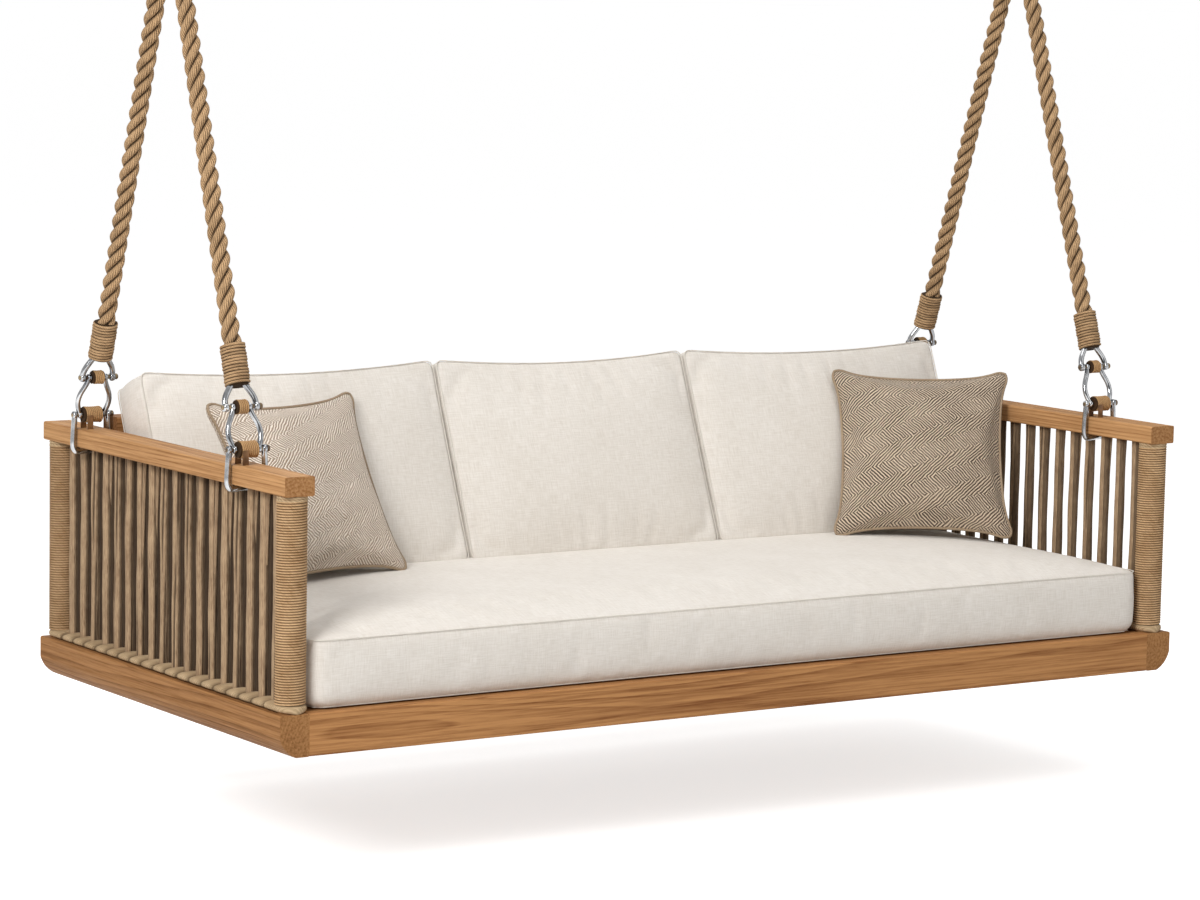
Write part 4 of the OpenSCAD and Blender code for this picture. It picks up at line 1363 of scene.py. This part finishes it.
@dataclass
class StrungCords:
    """Soft wrapped cords that are strung upright between two pieces of wood."""

    name: str
    node: str
    places: list[tuple[float, float]]
    low: float
    high: float
    across: bool = False
    width: float = 24.0
    thick: float = 20.0
    seat: float = 1.0
    kinds: int = 6
    inner: float = 0.0
    shades: tuple[float, float] = (0.62, 0.93)

    def build(self, yarn: Look) -> None:
        """Model a few cords with different creases and copy them to all places."""
        length = self.high - self.low + 2 * self.seat
        draws = np.random.default_rng(len(self.places))
        patterns = [self.pattern(number, length, draws) for number in range(self.kinds)]
        copies = []
        for number, (x, y) in enumerate(self.places):
            half_turn = math.pi * int(draws.integers(0, 2)) + self.across * math.pi / 2
            turn = Matrix.Rotation(half_turn, 4, "Z")
            place = Matrix.Translation(PLAN.at(x, y, self.low - self.seat))
            copies.append(Shop.copy(patterns[number % self.kinds], "copy", place @ turn))
            if self.inner:
                copies.append(self.behind(patterns[(number + 3) % self.kinds], place))
        Shop.discard(*patterns)
        made = Shop.join(self.name, copies)
        Shop.finish(made, yarn, "arm_cord", "bed", [self.node])

    def behind(self, pattern: Piece, place: Matrix) -> Piece:
        """Place the thinner return of a cord on the inner side of the arm, darkened with painted
        shade.

        The left arm's get more painted shade, as the seat's shade falls on them.

        Args:
            pattern: The cord that it is copied from.
            place: Place of the outer cord.

        Returns:
            The return, a quarter of a pitch towards the front.
        """
        pitch = (PLAN.cord_y(1) - PLAN.cord_y(0)) * MM
        shift = Matrix.Translation((self.inner * MM, -pitch * 0.25, 0))
        thin = Matrix.Diagonal((0.5, 0.5, 1, 1))
        twin = Shop.copy(pattern, "behind", place @ shift @ thin)
        # Painted shade all over the return, more on the left arm
        for spot in twin.data.attributes["hollow"].data:
            spot.value = self.shades[self.inner > 0] + 0.07 * spot.value
        return twin

    def pattern(self, number: int, length: float, draws: np.random.Generator) -> Piece:
        """Model one flattened cord with its creases and its thin doubled strand.

        Args:
            number: Which kind it is.
            length: Its length in mm.
            draws: The seeded source of its creases.

        Returns:
            The cord, standing at the origin, wider along Y.
        """
        piece = Shop.circle(f"cord_{number}", MM, 28)
        Shop.screw(piece, math.radians(14 - 7 * number), length * MM, 40)
        starts = draws.uniform(-math.pi, math.pi, 4)
        spans = draws.uniform(0.3, 0.75, 4)
        waves = draws.uniform(0, TURN, 5)
        depth = np.zeros(len(piece.data.vertices))

        def soft(at: np.ndarray) -> np.ndarray:
            """Flatten, crease and slacken a unit cord."""
            up = at[:, 2] / (length * MM)
            angle = np.arctan2(at[:, 1], at[:, 0])
            for k, start in enumerate(starts):
                off = (angle - start - 0.5 * up + math.pi) % (TURN) - math.pi
                high = up if k % 2 == 0 else 1 - up
                fade = np.clip((high - 1 + spans[k]) / 0.25, 0, 1)
                depth[:] = np.maximum(depth, fade * np.exp(-((off / 0.2) ** 2)))
            reach = (1 - 0.24 * depth) * (1 + 0.03 * np.sin(17 * up + waves[0]))
            half = self.width / 2 * (1 + 0.05 * np.sin(8 * up + waves[1]))
            thick = self.thick / 2 * (1 + 0.05 * np.sin(11 * up + waves[2]))
            wander = np.sin(math.pi * up) * np.sin(5 * up + waves[3]) * 1.5
            x = at[:, 0] * reach * thick + wander * math.cos(waves[4]) * MM
            y = at[:, 1] * reach * half + wander * math.sin(waves[4]) * MM
            return np.stack([x, y, at[:, 2]], axis=1)

        beside = np.abs(Shop.points(piece)[:, 1]) / MM
        Shop.push(piece, soft)
        Shop.wrap_uv(piece, self.width / 2 * MM)
        # Painted shade in the creases and on the sides that face the neighbouring cords
        Shop.hollow(piece, np.maximum(depth * 1.15, np.clip((beside - 0.78) / 0.22, 0, 1) * 0.8))
        return Shop.join(f"cord_{number}", [piece, self.doubled(number, length, spans[0])])

    def doubled(self, number: int, length: float, span: float) -> Piece:
        """Model the thin second strand that leaves a cord and meets the rail beside it."""
        low = 1 - 0.55 * span - 0.25
        strand = Shop.circle("strand", MM, 10)
        Shop.screw(strand, 0.6, length * (1 - low) * MM, 16)
        Shop.wrap_uv(strand, 4 * MM)
        way = 1 if number % 2 else -1

        def drift(at: np.ndarray) -> np.ndarray:
            """Let the strand lean away from the cord towards the rail."""
            up = at[:, 2] / (length * (1 - low) * MM)
            out = way * (5.0 + 9.5 * up**1.3)
            places = (at[:, 0] * 3.6 + 1.5 * MM, at[:, 1] * 4.4 + out * MM)
            return np.stack([*places, at[:, 2] + length * low * MM], axis=1)

        Shop.push(strand, drift)
        # A little painted shade all along the thin strand
        Shop.hollow(strand, np.full(len(strand.data.vertices), 0.25))
        return strand


# ---- Cushions ----


@dataclass
class Cushion:
    """A stuffed piece: two panels on either side of a border, sewn with piping at the seams.

    Lengths are in mm. The power shapes the crowns of the lower and the upper panel. Draw pulls
    the sides in, dip lowers the upper edge and tuck sets a flat base's edge in. Step is the size
    of a cell, pressure and growth swell the cloth, and cap is how far it can move.
    """

    name: str
    body: str
    slot: str
    size: tuple[float, float]
    border: float
    crowns: tuple[float, float]
    place: Matrix
    floor: float
    power: float
    corner_r: float
    draw: float
    step: float
    pressure: float
    growth: float
    cap: float
    fill: float
    piping: float = 4.0
    dip: float = 0.0
    tuck: float = 9.0
    flat_base: bool = False
    loose_seams: bool = False
    seams: list[np.ndarray] = field(init=False)

    def build(self, cloth: Look, trim: Look) -> None:
        """Sew, fill, place and pipe the cushion."""
        piece, pinned = self.sew()
        self.inflate(piece, pinned)
        points = Shop.points(piece)
        matrix = np.array(self.place)
        points = points @ matrix[:3, :3].T + matrix[:3, 3]
        points[:, 2] = np.maximum(points[:, 2], self.floor)
        Shop.push(piece, lambda at: points)
        loops = [points[seam] for seam in self.seams]
        Shop.soften(piece, levels=1)
        Shop.finish(piece, cloth, self.slot, self.body, [self.body])
        pipes = [Shop.tube("pipe", loop, self.piping * MM, closed=True) for loop in loops]
        trimmed = Shop.join(f"{self.name}_piping", pipes)
        Shop.finish(trimmed, trim, self.slot, self.body)

    def grid(self) -> tuple[np.ndarray, np.ndarray, int, int]:
        """Lay out one panel.

        Returns:
            Its plan points in mm, their place on a square from -1 to 1, and the counts of cells.
        """
        across, along = self.size[0] / 2, self.size[1] / 2
        nx, ny = round(2 * across / self.step), round(2 * along / self.step)
        square = np.stack(
            np.meshgrid(np.linspace(-1, 1, nx + 1), np.linspace(-1, 1, ny + 1), indexing="ij"),
            axis=-1,
        ).reshape(-1, 2)
        plan = square * [across, along]
        beyond = np.abs(plan) - [across - self.corner_r, along - self.corner_r]
        corner = (beyond > 0).all(axis=1)
        far = beyond[corner]
        round_off = far * (far.max(axis=1) / np.linalg.norm(far, axis=1))[:, None]
        inner = np.array([across - self.corner_r, along - self.corner_r])
        plan[corner] = np.sign(plan[corner]) * (inner + round_off)
        pull = 1 - self.draw * (1 - square[:, ::-1] ** 2) / [across, along]
        plan = plan * pull
        plan[:, 1] -= self.dip * (1 - square[:, 0] ** 2) * (1 + square[:, 1]) / 2
        return plan, square, nx, ny

    def sew(self) -> tuple[Piece, np.ndarray]:
        """Make the cushion's mesh about its own middle, its lower panel at z = 0.

        Returns:
            The piece, and the numbers of the vertices that the stuffing doesn't move.
        """
        plan, square, nx, ny = self.grid()
        count = len(plan)
        high = np.prod(1 - np.abs(square) ** self.power, axis=1)
        number = np.arange(count).reshape(nx + 1, ny + 1)
        ring = np.concatenate(
            [number[:-1, 0], number[-1, :-1], number[:0:-1, -1], number[0, :0:-1]]
        )
        rows = max(1, round(self.border / self.step))
        upper = np.column_stack([plan, self.border + self.crowns[1] * high])
        lower = np.column_stack([plan, -self.crowns[0] * high])
        if self.flat_base:
            lower[ring, :2] -= self.tuck * np.sign(plan[ring]) * (np.abs(square[ring]) > 0.98)
            lower[ring, 2] = self.tuck / 2
        swell = plan[ring] / np.linalg.norm(plan[ring], axis=1)[:, None]
        middle = []
        for row in range(1, rows):
            part = row / rows
            out = plan[ring] + swell * 3.0 * math.sin(math.pi * part)
            middle.append(np.column_stack([out, np.full(len(ring), self.border * part)]))
        points = np.concatenate([lower, upper, *middle]) * MM
        bands = [ring] + [2 * count + k * len(ring) + np.arange(len(ring)) for k in range(rows - 1)]
        bands.append(ring + count)
        quads = np.stack(
            [number[:-1, :-1], number[1:, :-1], number[1:, 1:], number[:-1, 1:]], axis=-1
        ).reshape(-1, 4)
        faces = [quads[:, ::-1], quads + count]
        flat = square * [self.size[0] / 2, self.size[1] / 2]
        maps = [flat[quads[:, ::-1]], flat[quads]]
        step_along = np.linalg.norm(np.roll(plan[ring], -1, axis=0) - plan[ring], axis=1)
        start = np.concatenate([[0], np.cumsum(step_along)])
        for row, (low, top) in enumerate(zip(bands[:-1], bands[1:])):
            faces.append(np.stack([low, np.roll(low, -1), np.roll(top, -1), top], axis=-1))
            heights = (row * self.border / rows, (row + 1) * self.border / rows)
            corners = [
                np.column_stack([place, np.full(len(ring), h)])
                for place, h in (
                    (start[:-1], heights[0]), (start[1:], heights[0]),
                    (start[1:], heights[1]), (start[:-1], heights[1]),
                )
            ]
            maps.append(np.stack(corners, axis=1))
        mesh = bpy.data.meshes.new(self.name)
        mesh.from_pydata(points.tolist(), [], np.concatenate(faces).tolist())
        layer = mesh.uv_layers.new(name="Cloth")
        layer.data.foreach_set("uv", (np.concatenate(maps).reshape(-1, 2) * MM).ravel())
        piece = bpy.data.objects.new(self.name, mesh)
        bpy.context.scene.collection.objects.link(piece)
        self.seams = [ring, ring + count] if self.border > 20 else [ring]
        corners = number[[0, 0, -1, -1], [0, -1, 0, -1]]
        pinned = np.concatenate([corners, corners + count]) if self.loose_seams else (
            np.concatenate([ring, ring + count]))
        if self.flat_base:
            pinned = np.union1d(pinned, np.arange(count))
        return piece, pinned

    def inflate(self, piece: Piece, pinned: np.ndarray) -> None:
        """Fill the cushion by cloth simulation, and cap how far the cloth moves.

        Args:
            piece: The sewn cushion.
            pinned: Vertices that stay.
        """
        before = Shop.points(piece)
        group = piece.vertex_groups.new(name="Seams")
        group.add(pinned.tolist(), 1.0, "REPLACE")
        cloth = piece.modifiers.new("Stuffing", "CLOTH").settings
        cloth.vertex_group_mass = "Seams"
        cloth.quality, cloth.mass = 4, 0.3
        cloth.tension_stiffness = cloth.compression_stiffness = 18
        cloth.shear_stiffness, cloth.bending_stiffness = 6, 0.8
        cloth.use_pressure, cloth.uniform_pressure_force = True, self.pressure
        cloth.shrink_min = -self.growth
        cloth.effector_weights.gravity = 0
        for number in range(1, SIM_FRAMES + 1):
            bpy.context.scene.frame_set(number)
        Shop.apply(piece)
        bpy.context.scene.frame_set(1)
        piece.vertex_groups.clear()
        moved = Shop.points(piece) - before
        far = np.maximum(np.linalg.norm(moved, axis=1), 1e-9)[:, None]
        cap = self.cap * MM
        Shop.push(piece, lambda at: before + moved / far * cap * np.tanh(far / cap))


@dataclass
class Upholstery:
    """All six cushions, at the places that the part's drawing gives them."""

    seat_l: float = 2044.0
    seat_depth: float = 840.0
    seat_front: float = 15.0
    seat_bottom: float = 82.3
    seat_border: float = 134.0
    seat_crown: float = 32.0
    back_h: float = 443.0
    back_lean: float = 22.3
    back_mid_w: float = 636.0
    back_gap: float = 5.0
    side_gap: float = 9.0
    back_border: float = 112.0
    back_crown: float = 22.0
    back_top: float = 555.0
    pillow_side: float = 402.0
    pillow_t: float = 118.0
    pillow_edge: float = 9.0

    @property
    def seat_top(self) -> float:
        """Height of the seat cushion's crown."""
        return self.seat_bottom + self.seat_border + self.seat_crown

    @property
    def back_front_y(self) -> float:
        """Distance of the back cushions' lower front seam behind the front of the base."""
        rise = self.back_top - self.seat_top
        cos = math.cos(math.radians(self.back_lean))
        touch = rise / cos / self.back_h
        thick = self.back_border + self.back_crown * (1 - abs(2 * touch - 1) ** 4)
        return PLAN.back_y - 0.3 - thick / cos - rise * math.tan(math.radians(self.back_lean))

    @staticmethod
    def axes(origin: Vector, across: Vector, along: Vector, through: Vector) -> Matrix:
        """Matrix of a cushion from its origin and its three directions."""
        turned = Matrix((across, along, through)).transposed().to_4x4()
        return Matrix.Translation(origin) @ turned

    def seat(self) -> Cushion:
        """The long boxed seat cushion."""
        middle = PLAN.at(0, self.seat_front + self.seat_depth / 2, self.seat_bottom)
        return Cushion(
            "seat_pad", "seat_cushion", "linen", (self.seat_l, self.seat_depth), self.seat_border,
            (0.0, self.seat_crown), Matrix.Translation(middle), middle.z, power=8, corner_r=34,
            draw=5, step=17.0, pressure=2.4, growth=0.008, cap=6.0, fill=0.85, piping=1.0,
            flat_base=True,
        )

    def back(self, label: str, x: float, width: float) -> Cushion:
        """One leaning back cushion."""
        lean = math.radians(self.back_lean)
        half = self.back_h / 2
        origin = PLAN.at(
            x, self.back_front_y + half * math.sin(lean), self.seat_top + half * math.cos(lean)
        )
        place = self.axes(
            origin, Vector((1, 0, 0)), Vector((0, math.sin(lean), math.cos(lean))),
            Vector((0, math.cos(lean), -math.sin(lean))),
        )
        return Cushion(
            f"{label}_back_pad", f"{label}_back_cushion", "linen", (width, self.back_h),
            self.back_border, (self.back_crown, self.back_crown), place,
            PLAN.at(0, 0, self.seat_top + 0.3).z, power=2.3, corner_r=18, draw=2, step=11.5,
            pressure=2.6, growth=0.012, cap=9.0, fill=0.75, piping=1.3, dip=15.0,
        )

    def pillow(self, label: str, foot: tuple[float, float], yaw: float) -> Cushion:
        """One square throw pillow that leans on the back cushions."""
        turn, lean = math.radians(yaw), math.radians(27)
        across = Vector((math.cos(turn), math.sin(turn), 0))
        backward = Vector((-math.sin(turn), math.cos(turn), 0))
        up = Vector((0, 0, math.cos(lean))) + math.sin(lean) * backward
        through = math.cos(lean) * backward - Vector((0, 0, math.sin(lean)))
        swell = (self.pillow_t - self.pillow_edge) / 2
        near = abs(foot[0]) - (self.pillow_side / 2 - 26) * math.cos(turn)
        stand = self.seat_bottom + self.seat_border + 0.3
        stand += self.seat_crown * (1 - (near / (self.seat_l / 2)) ** 8)
        origin = PLAN.at(foot[0], foot[1], stand)
        origin += (self.pillow_side / 2 * up - self.pillow_edge / 2 * through) * MM
        return Cushion(
            f"{label}_pillow", f"{label}_throw_pillow", "herringbone",
            (self.pillow_side, self.pillow_side), self.pillow_edge, (swell, swell),
            self.axes(origin, across, up, through), PLAN.at(0, 0, stand).z, power=2.2,
            corner_r=26, draw=15, step=8.5, pressure=3.0, growth=0.035, cap=10.0, fill=0.65,
            piping=3.0, loose_seams=True,
        )

    def build(self) -> None:
        """Make all cushions in order."""
        linen = Linen("linen_cloth", "ede7df", "dcd4c9").material()
        # The piping's linen is paler than the cloth: painted light that lifts the shade along the
        # seams
        trim = Linen("linen_piping", "f8f2e8", "ece4d8").material()
        half = self.seat_l / 2 - self.side_gap
        side_w = half - self.back_mid_w / 2 - self.back_gap
        side_x = half - side_w / 2
        self.seat().build(linen, trim)
        self.back("left", -side_x, side_w).build(linen, trim)
        self.back("middle", 0.0, self.back_mid_w - self.back_gap).build(linen, trim)
        self.back("right", side_x, side_w).build(linen, trim)
        coarse = ChevronCloth("chevron_coarse", "fff1e1", "b0967e", 0.026, 1.3, 0.0076, 0.009)
        fine = ChevronCloth("chevron_fine", "e0cab0", "4e3c2a", 0.025, 1.6, 0.0082, 0.007)
        edge = Yarn("pillow_piping", "b8a389", "86705a", 0.002).material()
        left = (310 - self.seat_l / 2, self.back_front_y - 117)
        right = (self.seat_l / 2 - 254, self.back_front_y - 143)
        self.pillow("left", left, 13).build(coarse.material(), edge)
        self.pillow("right", right, -32).build(fine.material(), edge)


# ---- Studio ----


@dataclass
class Studio:
    """Camera at the photograph's angle, pale floor and soft lamps."""

    place: tuple[float, float, float] = (-4.6202, -6.9624, -0.2216)
    yaw: float = 33.353
    pitch: float = 6.640
    roll: float = 1.0915
    lens: float = 118.64
    floor_z: float = -1.92
    floor_glow: float = 0.68
    ambient: float = 0.37

    def camera(self) -> None:
        """Set up the camera from its yaw to the right, its pitch down and its roll."""
        bpy.ops.object.camera_add()
        camera = bpy.context.active_object
        camera.name = "camera"
        yaw, pitch, roll = (math.radians(v) for v in (self.yaw, self.pitch, self.roll))
        ahead = Vector(
            (math.sin(yaw) * math.cos(pitch), math.cos(yaw) * math.cos(pitch), -math.sin(pitch))
        )
        level = Vector((math.cos(yaw), -math.sin(yaw), 0))
        upward = level.cross(ahead)
        right = level * math.cos(roll) + upward * math.sin(roll)
        up = upward * math.cos(roll) - level * math.sin(roll)
        turned = Matrix((right, up, -ahead)).transposed().to_4x4()
        camera.matrix_world = Matrix.Translation(self.place) @ turned
        camera.data.sensor_fit, camera.data.sensor_width = "HORIZONTAL", 36.0
        camera.data.lens, camera.data.clip_end = self.lens, 1200.0
        bpy.context.scene.camera = camera

    def build(self) -> None:
        """Lay the floor, hang the lamps and set the world."""
        bpy.context.scene.view_settings.view_transform = "Standard"
        Shop.clear()
        bpy.ops.mesh.primitive_plane_add(size=900, location=(0, 0, self.floor_z))
        floor = Shop.fresh("floor")
        made = bpy.data.materials.new("pale_floor")
        made.use_nodes = True
        graph = Graph(made.node_tree)
        shader = made.node_tree.nodes["Principled BSDF"]
        shader.inputs["Base Color"].default_value = (0.8, 0.8, 0.8, 1)
        shader.inputs["Roughness"].default_value = 0.9
        seen = graph.rays("Camera", "Glossy")
        glow = graph.add("Emission", {"Strength": graph.times(seen, self.floor_glow)})
        both = graph.add("AddShader", {0: shader.outputs[0], 1: glow.outputs[0]})
        out = made.node_tree.nodes["Material Output"]
        graph.feed(out.inputs["Surface"], both.outputs[0])
        floor.data.materials.append(made)
        world = bpy.data.worlds.new("studio")
        bpy.context.scene.world = world
        world.use_nodes = True
        graph = Graph(world.node_tree)
        back = world.node_tree.nodes["Background"]
        lit = graph.span(graph.rays("Camera", "Glossy", "Transmission"), 0, 1, self.ambient, 1.0)
        toward = (Vector(self.place) - MIDDLE).normalized()
        ray = graph.add("TexCoord").outputs["Generated"]
        flag = graph.span(graph.vector("DOT_PRODUCT", ray, toward), 0.8, 0.93, -0.42, -0.9)
        mirror = graph.fuse(graph.rays("Glossy"), flag, lit)
        graph.feed(back.inputs["Strength"], mirror)
        back.inputs["Color"].default_value = (1, 1, 1, 1)
        for name, place, power, size in (
            ("key", (-5.6, -3.4, 2.3), 340, 2.2),
            ("fill", (3.5, -4.5, 1.0), 26, 3.0),
            ("top", (0.2, -0.4, 3.2), 88, 3.6),
            ("rim", (1.0, 4.5, 2.0), 40, 3.0),
        ):
            bpy.ops.object.light_add(type="AREA", location=place)
            lamp = bpy.context.active_object
            lamp.name, lamp.data.energy, lamp.data.size = name, power, size
            aim = MIDDLE - Vector(place)
            lamp.rotation_euler = aim.to_track_quat("-Z", "Y").to_euler()


def main() -> None:
    """Build the scene in order: camera, ropes, arms, timber, hardware, cushions, studio."""
    logging.basicConfig(level=logging.INFO, format="%(name)s: %(message)s")
    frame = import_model()
    studio = Studio()
    studio.camera()
    twine = Yarn(
        "wound_twine", "efc99b", "a37b50", 0.0026, slant=0.7, groove="432a14", bold=0.15,
        dark=0.95,
    ).material()
    cream = Yarn(
        "cream_braid", "cbb18d", "8f7453", 0.006, slant=0.6, groove="3a2918", dark=0.9
    ).material()
    soft = Yarn(
        "wrapped_cord", "c4a785", "745a44", 0.0045, depth=0.0013, groove="241810", dark=0.94,
        bold=0.2,
    ).material()
    Rope().build()
    PostWinding().build(twine, cream)
    Binding().build(cream)
    for side in Side:
        places = [
            (side.value * PLAN.rail_x, PLAN.cord_y(n)) for n in range(1, PLAN.cord_count + 1)
        ]
        StrungCords(
            f"{side.label}_arm_strands", f"{side.label}_arm_cords", places, PLAN.base_h,
            PLAN.rail_z, inner=-7.0 * side.value,
        ).build(soft)
    pitch = PLAN.back_post_x / (PLAN.back_cord_count + 1)
    places = [
        (way * pitch * n, PLAN.back_y + 32) for way in (-1, 1)
        for n in range(1, PLAN.back_cord_count + 1)
    ]
    StrungCords(
        "back_strands", "back_cords", places, PLAN.base_h, PLAN.back_z, across=True
    ).build(soft)
    Timber().build(frame)
    Hardware().build(frame)
    Chain().build()
    Upholstery().build()
    studio.build()


if __name__ == "__main__":
    main()
